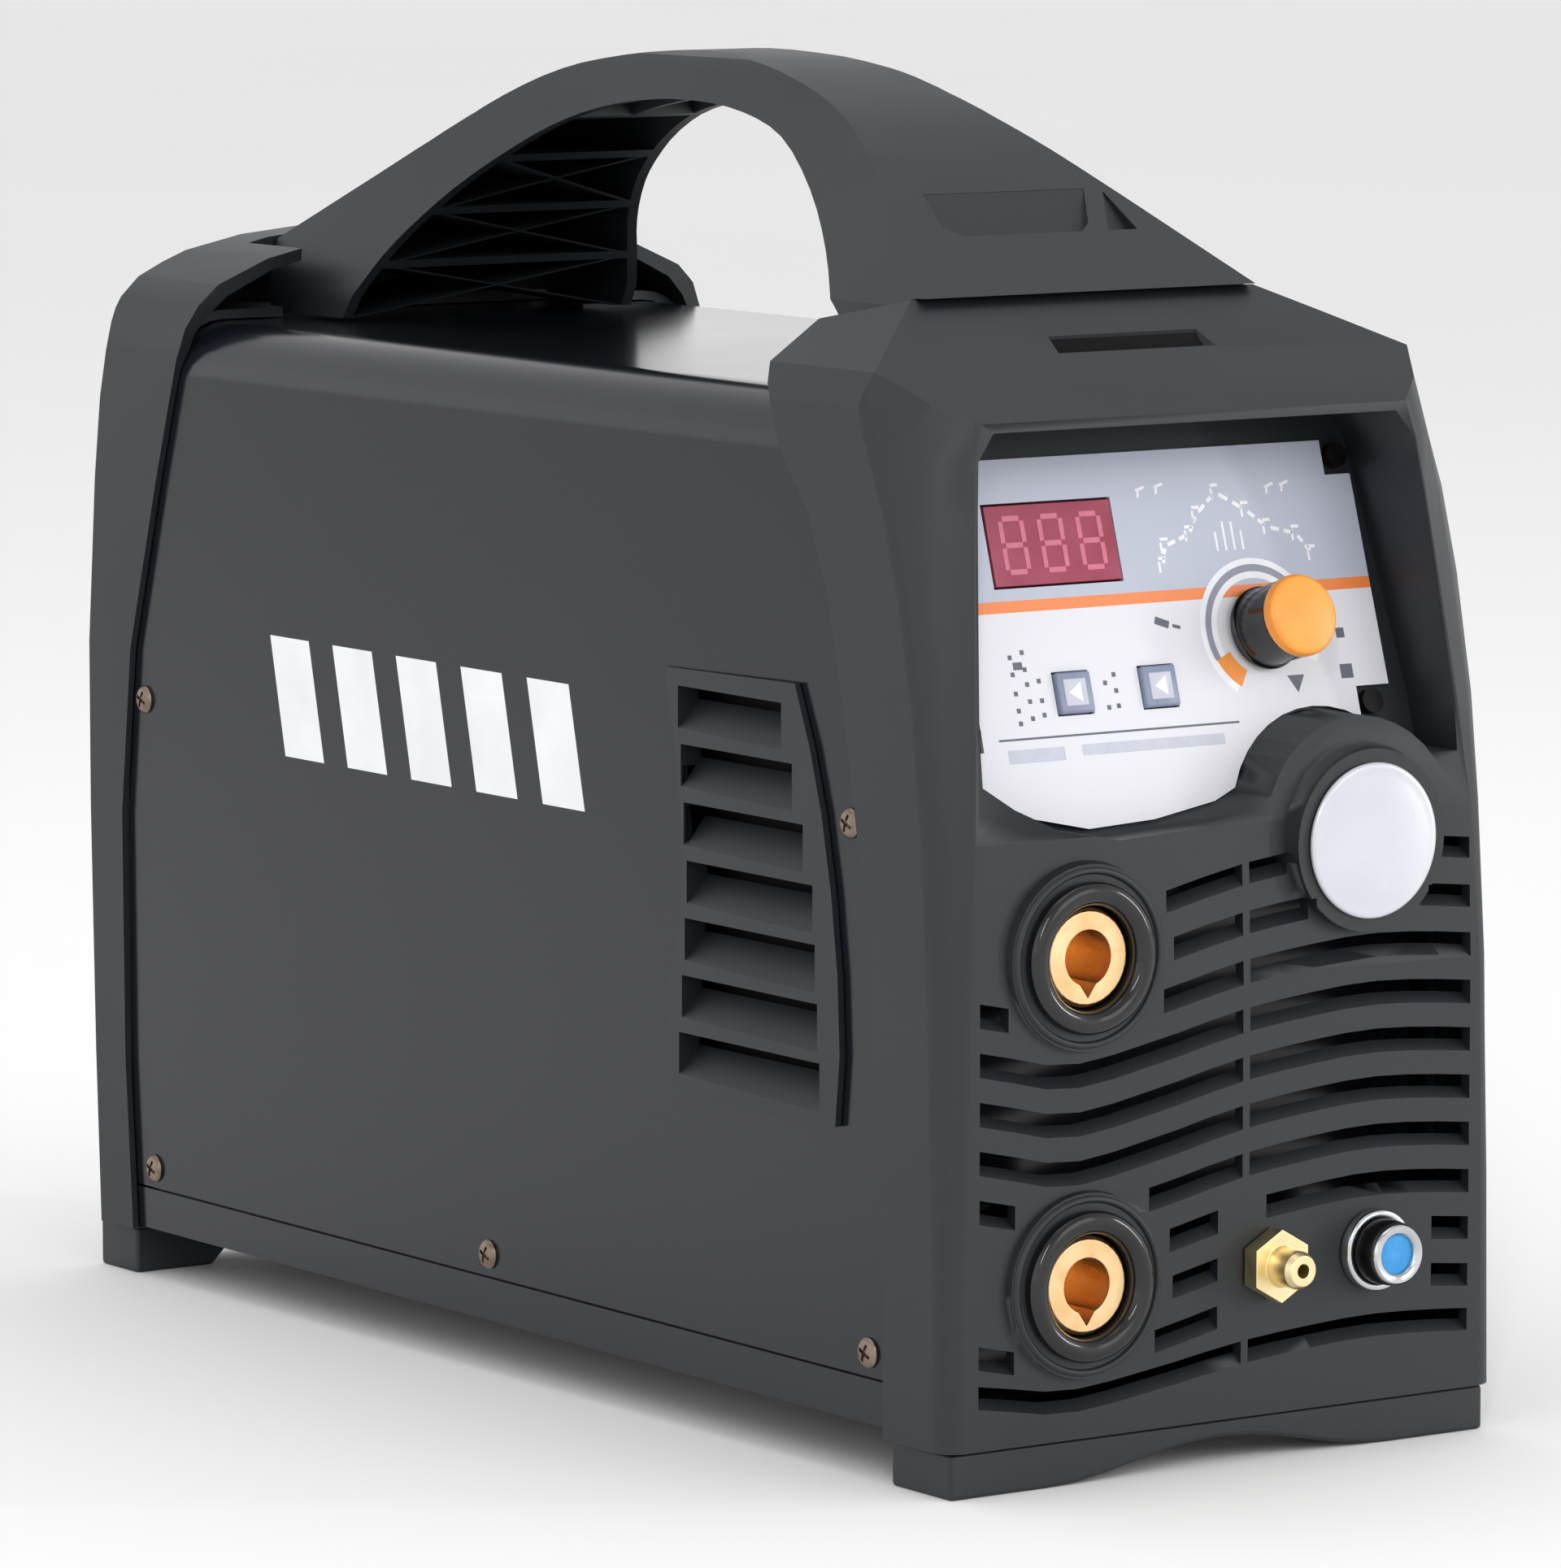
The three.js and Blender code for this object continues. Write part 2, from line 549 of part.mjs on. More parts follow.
// ---- rear bezel ----
const rearStations = [
  { z: 12.3, front: 362.8, corner: 379, back: 385.4, flat: 70 },
  { z: 57, front: 366, corner: 381, back: 387.4, flat: 70 },
  { z: 121, front: 366.6, corner: 382.6, back: bodyLength, flat: 70 },
  { z: 164, front: 361.7, corner: 382.6, back: bodyLength, flat: 70 },
  { z: 207, front: 348.6, corner: 379, back: 386, flat: 69 },
  { z: 228, front: 341.6, corner: 376, back: 382.6, flat: 68 },
  { z: 243, front: 336.4, corner: 372, back: 378.6, flat: 66 },
  { z: 255, front: 333, corner: 368.6, back: 375.4, flat: 64 },
  { z: 275, front: 330.6, corner: 362, back: 370, flat: 60 },
];

function rearOutline(s, inset) {
  const side = halfWidth - inset;
  const half = [
    [side, inset > 0 ? s.front - 20 : s.front],
    [side, s.corner - inset],
    [side - 3, s.corner + 3 - inset],
    [s.flat - inset, s.back - inset],
  ];
  return [...half, ...half.toReversed().map(([x, y]) => [-x, y])];
}

function hoodOutline(drop) {
  const side = halfWidth - drop;
  const right = [[side, 240], [side - 1.2, 247.6 - drop / 2], [side - 4.4, 253.8 - drop], [70.4 - drop, 258.8 - drop],
    [56 - drop / 2, 265 - drop], [40, 268.6 - drop], [20, 270.6 - drop]];
  return [[side, 0], ...right, ...right.toReversed().map(([x, z]) => [-x, z]), [-side, 0]];
}

function rearEnvelope(inset) {
  const heights = rearStations.map((s) => s.z);
  heights[0] += inset;
  return loft(rearStations.map((s) => rearOutline(s, inset)), heights)
    .intersect(alongY(hoodOutline(inset), 280, 420));
}

const handleHalfRear = 45;
const rearWindow = [[-66, 24], [66, 24], [68, 30], [68, 205], [56, 230], [-56, 230], [-68, 205], [-68, 30]];

function rearBezel() {
  const shell = rearEnvelope(0).subtract(rearEnvelope(wall));
  const collar = alongY(roundedU(coverHalf + gap + 2.4, coverTop + gap + 2.4, coverCorner + 2, 20), 341, 364)
    .intersect(rearEnvelope(0));
  const handleRoom = box(-handleHalfRear - 1, handleHalfRear + 1, 300, 358, coverTop + gap, 290);
  return cut(join(shell, collar), coverEnvelope(gap), handleRoom, alongY(rearWindow, 360, 400));
}

function rearPanel() {
  const plate = alongY([[-71, 19], [71, 19], [71, 205], [58, 235], [-58, 235], [-71, 205]],
    rearPanelY - 5.4, rearPanelY - 3.8);
  const y = [rearPanelY - 8, rearPanelY];
  return cut(plate,
    rodY(0, fanAt.z, ...y, 57, 57, 40),
    box(switchAt.x - 13.8, switchAt.x + 13.8, ...y, switchAt.z - 10.8, switchAt.z + 10.8),
    rodY(glandAt.x, glandAt.z, ...y, 8.2, 8.2, 24),
    rodY(gasInletAt.x, gasInletAt.z, ...y, 6.3, 6.3, 24));
}

const panelBack = rearPanelY - 3.8;       // outside face of the rear panel
const panelInside = rearPanelY - 5.4;

function fanFrame() {
  const half = fanAt.size / 2;
  const y0 = panelInside - gap - fanAt.depth;
  const y1 = panelInside - gap;
  const body = box(-half, half, y0, y1, fanAt.z - half, fanAt.z + half);
  const waists = [0, 1, 2, 3].map((corner) => {
    const sx = corner % 2 ? 1 : -1;
    const sz = corner < 2 ? 1 : -1;
    return box(Math.min(sx * 44, sx * 62), Math.max(sx * 44, sx * 62), y0 + 4, y1 - 4,
      fanAt.z + Math.min(sz * 44, sz * 62), fanAt.z + Math.max(sz * 44, sz * 62));
  });
  const hole = rodY(0, fanAt.z, y0 - 1, y1 + 1, 56.5, 56.5, 40);
  const motor = rodY(0, fanAt.z, y0, y0 + 4, 21, 21, 28);
  const spokes = [45, 165, 285].map((angle) => {
    const bar = new THREE.BoxGeometry(60, 3, 4).translate(30, 0, 0).rotateY(radians(angle));
    return solid(bar.translate(0, y0 + 1.6, fanAt.z));
  });
  const arms = join(motor, ...spokes).intersect(rodY(0, fanAt.z, y0 - 1, y1 + 1, 57.5, 57.5, 40));
  return join(cut(body, ...waists, hole), arms);
}

function fanRotor() {
  const y0 = panelInside - gap - fanAt.depth + 5;
  const hub = rodY(0, fanAt.z, y0, y0 + 29, 20, 20, 28);
  const blades = Array.from({ length: 7 }, (_, i) => {
    const blade = new THREE.BoxGeometry(37, 2, 34).translate(36, 0, 0);
    blade.rotateX(radians(42)).rotateY(radians((360 / 7) * i));
    return solid(blade.translate(0, y0 + 14.5, fanAt.z));
  });
  return join(hub, ...blades).intersect(rodY(0, fanAt.z, y0, y0 + 29, 54.5, 54.5, 40));
}

function fanGuard() {
  const y0 = panelBack + gap;
  const ring = (radius) => {
    const section = [[radius - 1.2, y0], [radius + 1.2, y0], [radius + 1.2, y0 + 2], [radius - 1.2, y0 + 2],
      [radius - 1.2, y0]];
    return turned(section, 24);
  };
  const rings = [14, 28, 42, 56].map((radius) => ring(radius));
  const bars = [45, 135].map((angle) => {
    const bar = new THREE.BoxGeometry(146, 2, 3).rotateY(radians(angle));
    return solid(bar.translate(0, y0 + 1, 0));
  });
  return join(...rings, ...bars).translate(0, 0, fanAt.z);
}

// ---- rear fittings ----
function switchHousing() {
  const { x, z } = switchAt;
  const flange = box(x - 16, x + 16, panelBack + gap, panelBack + 2.3, z - 13, z + 13);
  const body = box(x - 13.4, x + 13.4, panelBack - 20, panelBack + 1, z - 10.4, z + 10.4);
  const pocket = box(x - 11.9, x + 11.9, panelBack - 6.5, panelBack + 4, z - 7.4, z + 7.4);
  return cut(join(flange, body), pocket);
}

const rockerPivotY = panelBack + 0.2;
const rockerTilt = 11;

function switchRocker() {
  const { x, z } = switchAt;
  const profile = [[-9.8, -2.6], [9.8, -2.6], [10, 3.6], [0, 2], [-10, 3.6]];
  const geometry = new THREE.ExtrudeGeometry(shapeOf(profile), { depth: 13.6, bevelEnabled: false });
  const turn = new THREE.Matrix4().makeBasis(
    new THREE.Vector3(1, 0, 0), new THREE.Vector3(0, 1, 0), new THREE.Vector3(0, 0, 1));
  geometry.applyMatrix4(turn).translate(0, 0, -6.8).rotateZ(radians(-rockerTilt));
  return solid(geometry.translate(x, rockerPivotY, z));
}

function cableGland() {
  const { x, z } = glandAt;
  const hexagon = arcPoints(x, z, 12, 0, 300, 5);
  const dome = turned([[0, 376.6], [9.6, 376.6], [9.6, 391], [7.6, 394.5], [0, 394.5]], 28).translate(x, 0, z);
  const tail = rodY(x, z, 366, panelBack + 1, 7.8, 7.8, 24);
  return cut(join(alongY(hexagon, panelBack + gap, 382), dome, tail), rodY(x, z, 360, 400, 5, 5, 20));
}

function gasInlet() {
  const { x, z } = gasInletAt;
  const hexagon = arcPoints(x, z, 9, 0, 300, 5);
  const barb = [[0, 366], [5.9, 366], [5.9, 384], [3.9, 384], [3.9, 387], [4.8, 387], [3.9, 391], [4.8, 391],
    [3.9, 395], [4.8, 395], [3.6, rearMost], [0, rearMost]];
  return cut(join(alongY(hexagon, panelBack + gap, 382), turned(barb, 24).translate(x, 0, z)),
    rodY(x, z, 360, 405, 2.4, 2.4, 16));
}

// ---- handle ----
const handleOuter = smooth([[54.5, 270], [74, 281.2], [94, 292.6], [112, 302.2], [132, 310.6], [156, 317.2],
  [182, 320.6], [207, 321.2], [232, 319], [256, 314.6], [280, 306.8], [302, 297], [330, 282.6], [357, 268.2]], 38);
const handleInner = smooth([[315.4, coverTop + 1.2], [307, 263], [299, 273], [287, 283.4], [273, 292], [256, 300],
  [238, 305.4], [214, 309], [188, 309.6], [166, 307.4], [145, 302.2], [122, 291], [103, 278.4], [89, 266.6]], 38);

// Half widths of the handle's flaring legs, seen from the front and from the back.
const frontFlare = [[50, 255], [49.4, 268], [40.2, 281], [32.4, 292], [26.4, 300.4], [21.6, 307], [18.6, 312.4],
  [17, 317], [14.4, 320], [10, 321.6]];
const rearFlare = [[45, 240], [43.4, 256], [39, 266], [33.4, 276], [28, 286], [23.6, 295], [20.4, 303], [18.6, 311],
  [17, 317], [14.4, 320], [10, 321.6]];

const roofBehindRidge = (y) => roofRidge.z - (y - roofRidge.y) * roofRearSlope;
const mirrored = (right) => [...right, ...right.toReversed().map(([x, z]) => [-x, z])];

function handleShape(inset) {
  const shrink = (flare) => mirrored(flare.map(([x, z]) => [x - inset, z]));
  const base = [[86, roofBehindRidge(86) + gap], [roofRidge.y, roofRidge.z + gap]];
  const dropped = handleOuter.map(([y, z]) => [y, z - inset]);
  const profile = inset > 0
    ? [[57.8 + inset * 2, 250], ...dropped.slice(2, -2), [354, 258], [354, 240]]
    : [...handleOuter, [350, coverTop + 1], ...handleInner, ...base];
  const sideBlock = alongX(profile, -60, 60);
  const frontHalf = sideBlock.intersect(alongY(shrink(frontFlare), 40, 200));
  const rearHalf = sideBlock.intersect(alongY(shrink(rearFlare), 200, 365));
  return frontHalf.add(rearHalf);
}

// Two pockets in the handle's front slope: x, and distance down from their upper edge along their floors.
const slopePocket = [[-22, 0], [-25, -14], [-21, -18], [13, -18], [17, -14.5], [25, 0]];
const slopeNotch = [[20.7, -18], [29.2, -18], [29.6, -1.5]];
const pocketFloorAngle = 38;        // steeper than the slope, so the pockets are deepest at their lower edge
const pocketUpperEdge = { y: 92, z: 291.4 };

// Shelves and crossed ribs that stiffen the rear leg, open towards the grip.
function legRibs() {
  const levels = [{ z: 250, half: 42 }, { z: 264, half: 38 }, { z: 278, half: 31 }, { z: 292, half: 24 }];
  const shelves = levels.slice(1).map(({ z }) => box(-45, 45, 226, 352, z - 1, z + 1));
  const crossed = levels.slice(1).flatMap((upper, i) => [-1, 1].map((side) => {
    const lower = levels[i];
    const [from, to] = [side * lower.half, -side * upper.half];
    return alongY([[from - 1.2, lower.z], [from + 1.2, lower.z], [to + 1.2, upper.z], [to - 1.2, upper.z]],
      226, 352);
  }));
  return [...shelves, ...crossed];
}

function slopeCutter(outline) {
  return alongZ(outline, 0, 8).rotate([pocketFloorAngle, 0, 0])
    .translate(0, pocketUpperEdge.y, pocketUpperEdge.z);
}

function handle() {
  const hollow = handleShape(wall);
  const bars = [[246, 292, 310], [150, 290, 310], [118, 270, 300]]
    .map(([y, z0, z1]) => box(-40, 40, y, y + 2.4, z0, z1));
  const keel = box(-1.2, 1.2, 60, 248, 250, 319);
  const ribs = join(keel, ...bars, ...legRibs()).intersect(handleShape(0));
  const frontFoot = alongX([[roofRidge.y, roofRidge.z + gap], [86, roofBehindRidge(86) + gap], [88, 267], [60, 273]],
    -46, 46);
  const body = join(handleShape(0).subtract(hollow), ribs, frontFoot.intersect(handleShape(0)));
  return cut(body, slopeCutter(slopePocket), slopeCutter(slopeNotch));
}

// ---- feet ----
function frontFoot() {
  const arch = Array.from({ length: 13 }, (_, i) => {
    const x = -50 + (100 * i) / 12;
    return [x, 3.3 * (1 + Math.cos((Math.PI * x) / 50))];
  });
  const profile = [[-77.4, 0], ...arch, [77.4, 0], [77.4, footTop - gap], [-77.4, footTop - gap]];
  return alongY(profile, 2, 25.6);
}

function rearFoot() {
  const profile = [[-77, 0], [-54, 0], [-47, 7], [47, 7], [54, 0], [77, 0], [77, 12], [-77, 12]];
  return alongY(profile, 366, 384.4);
}

// ---- inside ----
function heatsink(z0, finUp) {
  const [y0, y1] = [190, 296];
  const base = finUp ? box(-50, 50, y0, y1, z0, z0 + 6) : box(-50, 50, y0, y1, z0 + 34, z0 + 40);
  const fins = Array.from({ length: 9 }, (_, i) => {
    const x = -48.6 + i * 12;
    return box(x - 1.2, x + 1.2, y0, y1, z0, z0 + 40);
  });
  return join(base, ...fins);
}

function mainTransformer() {
  const core = cut(box(-32, 32, 112, 172, 34, 92), box(-20, 20, 100, 180, 46, 80));
  const winding = join(box(-15, 15, 118, 166, 45, 81), box(-28, -14, 106, 178, 48, 78), box(14, 28, 106, 178, 48, 78));
  return join(core, winding);
}

function powerBoard() {
  return box(-64, 64, 96, 332, 138, 140);
}

function capacitor(x) {
  return rodZ(x, 240, 92, 137.6, 16, 24);
}

function arcStartCoil() {
  const spool = turned([[9, 62], [21, 62], [21, 64], [18, 64], [18, 92], [21, 92], [21, 94], [9, 94], [9, 62]], 28);
  return spool.translate(-20, 0, 84);
}

function busbar(z, endZ) {
  const strip = box(socketX - 7, socketX + 7, 46.4, 49.4, Math.min(z, endZ) - 8, Math.max(z, endZ) + 8);
  const run = box(socketX - 7, socketX + 7, 46.4, 100, endZ - 2, endZ + 2);
  return join(strip, run);
}

function solenoidValve() {
  const { x, z } = gasInletAt;
  const block = box(x - 10, x + 10, 326, 350, z - 9, z + 9);
  const coil = box(x - 9, x + 9, 329, 347, z + 8, z + 30);
  const ports = rodY(x, z, 318, 358, 4.2, 4.2, 16);
  return cut(join(block, coil, ports), rodY(x, z, 317, 322, 2.2, 2.2, 12));
}

// A hose is a round section swept along a smooth curve.
function hose(points, radius, steps) {
  const path = new THREE.CatmullRomCurve3(points.map(([x, y, z]) => new THREE.Vector3(x, y, z)));
  const section = shapeOf(arcPoints(0, 0, radius, 0, 315, 7));
  return solid(new THREE.ExtrudeGeometry(section, { steps, bevelEnabled: false, extrudePath: path }));
}

// ---- build the machine ----
addPart('front_bezel', frontBezel(), charcoalPlastic);
addPart('control_label', controlLabel(), labelGrey);
addPart('display_module', displayModule(), material('#a8485a', 0.2));
addPart('button_left', pushButton(buttonsAt.left), labelGrey);
addPart('button_right', pushButton(buttonsAt.right), labelGrey);
addPart('encoder', encoder(), nickel);
addPart('control_board', controlBoard(), boardGreen);
labelScrewsAt.forEach(([x, s], i) => addPart(`panel_screw_${i + 1}`, panelScrew(x, s), screwZinc));

machine.add(knobGroup);
addPart('knob_body', knobBody(), blackPlastic, knobGroup);
addPart('knob_cap', knobCap(), orange, knobGroup);

for (const [level, z] of Object.entries(socketZ)) {
  addPart(`socket_collar_${level}`, socketCollar(z), blackPlastic);
  addPart(`socket_insert_${level}`, socketInsert(z), brass);
}
addPart('gas_outlet', gasOutlet(), brass);
addPart('torch_socket_shell', torchSocketShell(), nickel);
addPart('torch_socket_insert', torchSocketInsert(), material('#3f9fd6', 0.4));
addPart('badge', badge(), material('#d9dadd', 0.3, 0.6));

addPart('outer_cover', outerCover(), paintedSteel);
addPart('base_tray', baseTray(), paintedSteel);
addPart('socket_plate', socketPlate(), paintedSteel);
const vent = sideVent();
addPart('side_vent_left', vent, charcoalPlastic);
addPart('side_vent_right', vent, charcoalPlastic).scale.x = -1;

for (const side of [-1, 1]) {
  const word = side < 0 ? 'left' : 'right';
  coverScrews.forEach(([y, z], i) => {
    const screw = addPart(`cover_screw_${word}_${i + 1}`, coverScrew(y, z).head, screwZinc);
    screw.rotation.z = side < 0 ? Math.PI / 2 : -Math.PI / 2;
    screw.position.set(side * (coverHalf + gap), y, z);
  });
}

addPart('rear_bezel', rearBezel(), charcoalPlastic);
addPart('rear_panel', rearPanel(), paintedSteel);
addPart('fan_frame', fanFrame(), blackPlastic);
addPart('fan_rotor', fanRotor(), blackPlastic);
addPart('fan_guard', fanGuard(), nickel);
addPart('power_switch_housing', switchHousing(), blackPlastic);
addPart('power_switch_rocker', switchRocker(), material('#b3241c', 0.4));
addPart('cable_gland', cableGland(), blackPlastic);
addPart('gas_inlet', gasInlet(), brass);

addPart('handle', handle(), charcoalPlastic);
addPart('front_foot', frontFoot(), charcoalPlastic);
addPart('rear_foot', rearFoot(), charcoalPlastic);

addPart('heatsink_lower', heatsink(48, true), aluminium);
addPart('heatsink_upper', heatsink(160, false), aluminium);
addPart('main_transformer', mainTransformer(), copper);
addPart('power_board', powerBoard(), boardGreen);
addPart('capacitor_left', capacitor(-24), blackPlastic);
addPart('capacitor_right', capacitor(24), blackPlastic);
addPart('arc_start_coil', arcStartCoil(), copper);
addPart('busbar_upper', busbar(socketZ.upper, 118), copper);
addPart('busbar_lower', busbar(socketZ.lower, 40), copper);
addPart('solenoid_valve', solenoidValve(), brass);
addPart('gas_hose_rear', hose([[46, 365.6, 56], [46, 362, 56], [46, 358.6, 56]], 4.4, 3), rubber);
addPart('gas_hose_front', hose([[46, 317.6, 56], [46, 314, 56], [52, 302, 46], [60, 280, 34], [63, 200, 28],
  [62, 120, 27], [44, 66, 34], [20, 34, 45], [12, 20, 46.5], [12, 16.6, 46.5]], 4.2, 26), rubber);

export default machine;
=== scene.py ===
import json
import math

import bmesh
import bpy
from mathutils import Matrix, Vector

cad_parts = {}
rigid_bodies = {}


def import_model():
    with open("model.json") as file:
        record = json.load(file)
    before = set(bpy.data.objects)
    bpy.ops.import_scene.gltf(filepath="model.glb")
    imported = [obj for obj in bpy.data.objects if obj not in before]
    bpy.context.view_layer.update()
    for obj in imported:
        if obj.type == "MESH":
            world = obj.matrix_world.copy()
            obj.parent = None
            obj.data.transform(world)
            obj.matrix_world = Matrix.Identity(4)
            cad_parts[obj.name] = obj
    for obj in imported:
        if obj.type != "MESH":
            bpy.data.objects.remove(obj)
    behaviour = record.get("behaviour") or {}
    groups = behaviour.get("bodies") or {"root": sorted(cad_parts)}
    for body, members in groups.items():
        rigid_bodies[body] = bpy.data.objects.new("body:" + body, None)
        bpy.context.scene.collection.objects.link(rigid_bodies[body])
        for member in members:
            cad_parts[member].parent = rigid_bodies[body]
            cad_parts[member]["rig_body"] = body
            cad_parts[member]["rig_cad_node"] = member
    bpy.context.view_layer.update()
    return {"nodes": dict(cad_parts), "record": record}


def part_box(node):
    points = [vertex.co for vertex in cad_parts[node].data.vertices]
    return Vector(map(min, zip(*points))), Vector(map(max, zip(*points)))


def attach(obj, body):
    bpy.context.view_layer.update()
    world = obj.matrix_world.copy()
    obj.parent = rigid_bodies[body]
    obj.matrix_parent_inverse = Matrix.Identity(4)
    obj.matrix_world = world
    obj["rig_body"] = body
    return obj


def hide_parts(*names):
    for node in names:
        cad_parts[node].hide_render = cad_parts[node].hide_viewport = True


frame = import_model()
nodes = frame["nodes"]
mm = 0.001
print("frame loaded:", len(nodes), "nodes")

# Where things are, in millimetres: the grille's face stands ahead of the socket plate, and the
# leaning control panel has its own frame, with x across, z up its slope and y into the machine.
panel = {"plateBehindGrille": 27, "setBack": 22, "height": 175, "lean": 17}
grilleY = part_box("socket_plate")[0].y - panel["plateBehindGrille"] * mm
panelFrame = (Matrix.Translation((0, grilleY + panel["setBack"] * mm, panel["height"] * mm))
              @ Matrix.Rotation(-math.radians(panel["lean"]), 4, "X"))


def toLinear(hexColour):
    values = [int(hexColour[i:i + 2], 16) / 255 for i in (1, 3, 5)]
    linear = [v / 12.92 if v <= 0.04045 else ((v + 0.055) / 1.055) ** 2.4 for v in values]
    return (*linear, 1.0)


def addNode(material, kind, settings=None, links=()):
    node = material.node_tree.nodes.new(kind)
    for key, value in (settings or {}).items():
        if isinstance(key, int) or key in node.inputs:
            node.inputs[key].default_value = value
        else:
            setattr(node, key, value)
    for inputName, source, outputName in links:
        material.node_tree.links.new(source.outputs[outputName], node.inputs[inputName])
    return node


def setRamp(ramp, stops):
    elements = ramp.color_ramp.elements
    while len(elements) < len(stops):
        elements.new(1.0)
    for element, (position, colour) in zip(elements, stops):
        element.position = position
        element.color = colour


def newMaterial(name):
    material = bpy.data.materials.new(name)
    material.use_nodes = True
    shader = material.node_tree.nodes["Principled BSDF"]
    place = addNode(material, "ShaderNodeTexCoord")
    return material, shader, place


def connect(material, source, outputName, target, inputName):
    material.node_tree.links.new(source.outputs[outputName], target.inputs[inputName])


# A surface with two close tones, a fine relief and a roughness that wanders a little.
# Sizes are in millimetres: how wide the tone patches are, and how wide the relief's grains are.
def grainedMaterial(name, dark, light, roughness, metallic=0.0, ior=None, patch=40, grain=0.6,
                    relief=0.1, depth=0.05, wander=0.08, stretch=(1, 1, 1)):
    material, shader, place = newMaterial(name)
    mapping = addNode(material, "ShaderNodeMapping", {"Scale": stretch}, [("Vector", place, "Object")])
    patches = addNode(material, "ShaderNodeTexNoise", {"Scale": 1 / (patch * mm), "Detail": 3.0},
                      [("Vector", mapping, "Vector")])
    grains = addNode(material, "ShaderNodeTexNoise", {"Scale": 1 / (grain * mm), "Detail": 2.0},
                     [("Vector", mapping, "Vector")])
    tone = addNode(material, "ShaderNodeValToRGB", {}, [("Fac", patches, "Fac")])
    setRamp(tone, [(0.3, toLinear(dark)), (0.7, toLinear(light))])
    rough = addNode(material, "ShaderNodeMapRange", {
        "From Min": 0.3, "From Max": 0.7, "To Min": roughness - wander, "To Max": roughness + wander,
    }, [("Value", patches, "Fac")])
    bump = addNode(material, "ShaderNodeBump", {"Strength": relief, "Distance": depth * mm},
                   [("Height", grains, "Fac")])
    connect(material, tone, "Color", shader, "Base Color")
    connect(material, rough, "Result", shader, "Roughness")
    connect(material, bump, "Normal", shader, "Normal")
    shader.inputs["Metallic"].default_value = metallic
    if ior:
        shader.inputs["IOR"].default_value = ior
    return material


# ABS from a spark-eroded mould: an even matt grain that scatters highlights into a soft sheen
charcoalAbs = grainedMaterial("charcoal_abs_moulded", "#11161B", "#161C21", 0.5, ior=1.53,
                              patch=70, grain=0.9, relief=0.45, depth=0.05, wander=0.05)
# glass filled nylon from a polished mould: near black, with a tight highlight
blackNylon = grainedMaterial("black_nylon_moulded", "#0E0E10", "#131315", 0.13, ior=1.53,
                             patch=12, grain=0.5, relief=0.08, depth=0.02, wander=0.03)
# polyester powder coat on steel: semi gloss, with orange peel about 2 mm wide
powderCoat = grainedMaterial("black_powder_coat", "#0F1218", "#12151C", 0.17, ior=1.47,
                             patch=120, grain=2.2, relief=0.12, depth=0.03, wander=0.02)
# brass turned on a lathe: warm metal with fine tool marks
turnedBrass = grainedMaterial("turned_brass", "#F0C48C", "#FBD9A8", 0.3, metallic=1.0,
                              patch=6, grain=0.35, relief=0.2, depth=0.02)
# lacquered brass: paler and yellower than the bare metal
lacqueredBrass = grainedMaterial("lacquered_brass", "#EFD9A2", "#F9E6B6", 0.32, metallic=1.0,
                                 patch=6, grain=0.4, relief=0.15, depth=0.02)
# bright nickel plate: clean mirror with slight clouding
nickelPlate = grainedMaterial("bright_nickel_plate", "#C2C4C6", "#D8DADC", 0.16, metallic=1.0,
                              patch=8, grain=0.4, relief=0.12, depth=0.01, wander=0.05)
# nickel plated wire: grey, softly bright
wirePlate = grainedMaterial("nickel_plated_wire", "#8E9092", "#A2A4A6", 0.3, metallic=1.0,
                            patch=9, grain=0.5, relief=0.1, depth=0.01)
# zinc flake on a pressed steel screw: grey brown, dull
zincScrew = grainedMaterial("zinc_plated_screw", "#7A6A5E", "#96877A", 0.36, metallic=1.0,
                            patch=3, grain=0.3, relief=0.3, depth=0.02)
# polycarbonate cap, through coloured: warm orange, satin
orangeCap = grainedMaterial("orange_polycarbonate", "#F0922A", "#F7A23A", 0.36, ior=1.58,
                            patch=9, grain=0.5, relief=0.12, depth=0.02)
# blue acetal contact block: waxy satin
blueAcetal = grainedMaterial("blue_acetal", "#2E8FD2", "#42A4E4", 0.34, ior=1.48,
                             patch=5, grain=0.4, relief=0.1, depth=0.02)
# vacuum metallised film: pale silver with a soft sheen
silverFilm = grainedMaterial("silver_film", "#C9CBD3", "#D3D5DB", 0.26, ior=1.58, metallic=0.25,
                             patch=30, grain=0.6, relief=0.05, depth=0.01)
# glass fibre circuit laminate under solder mask
boardLaminate = grainedMaterial("solder_mask_laminate", "#164A30", "#1D5C3C", 0.42, ior=1.55,
                                patch=14, grain=0.7, relief=0.3, depth=0.03)
# extruded aluminium: die lines run along the fins
extrudedAluminium = grainedMaterial("extruded_aluminium", "#A9ACAF", "#BFC2C5", 0.36, metallic=1.0,
                                    patch=18, grain=0.8, relief=0.2, depth=0.02, stretch=(1, 0.08, 1))
# enamelled copper: brown red, glossy
enamelledCopper = grainedMaterial("enamelled_copper", "#8E4A2A", "#B4693C", 0.3, metallic=1.0,
                                  patch=9, grain=0.9, relief=0.2, depth=0.03)
# sintered ferrite: dull grey black, sandy
ferrite = grainedMaterial("sintered_ferrite", "#2B2A2A", "#3A3838", 0.6, ior=1.6,
                          patch=11, grain=0.5, relief=0.5, depth=0.05)
# PVC sleeve over an aluminium can: smooth dark blue
canSleeve = grainedMaterial("capacitor_sleeve", "#1B2230", "#242D40", 0.3, ior=1.53,
                            patch=15, grain=0.6, relief=0.1, depth=0.02)
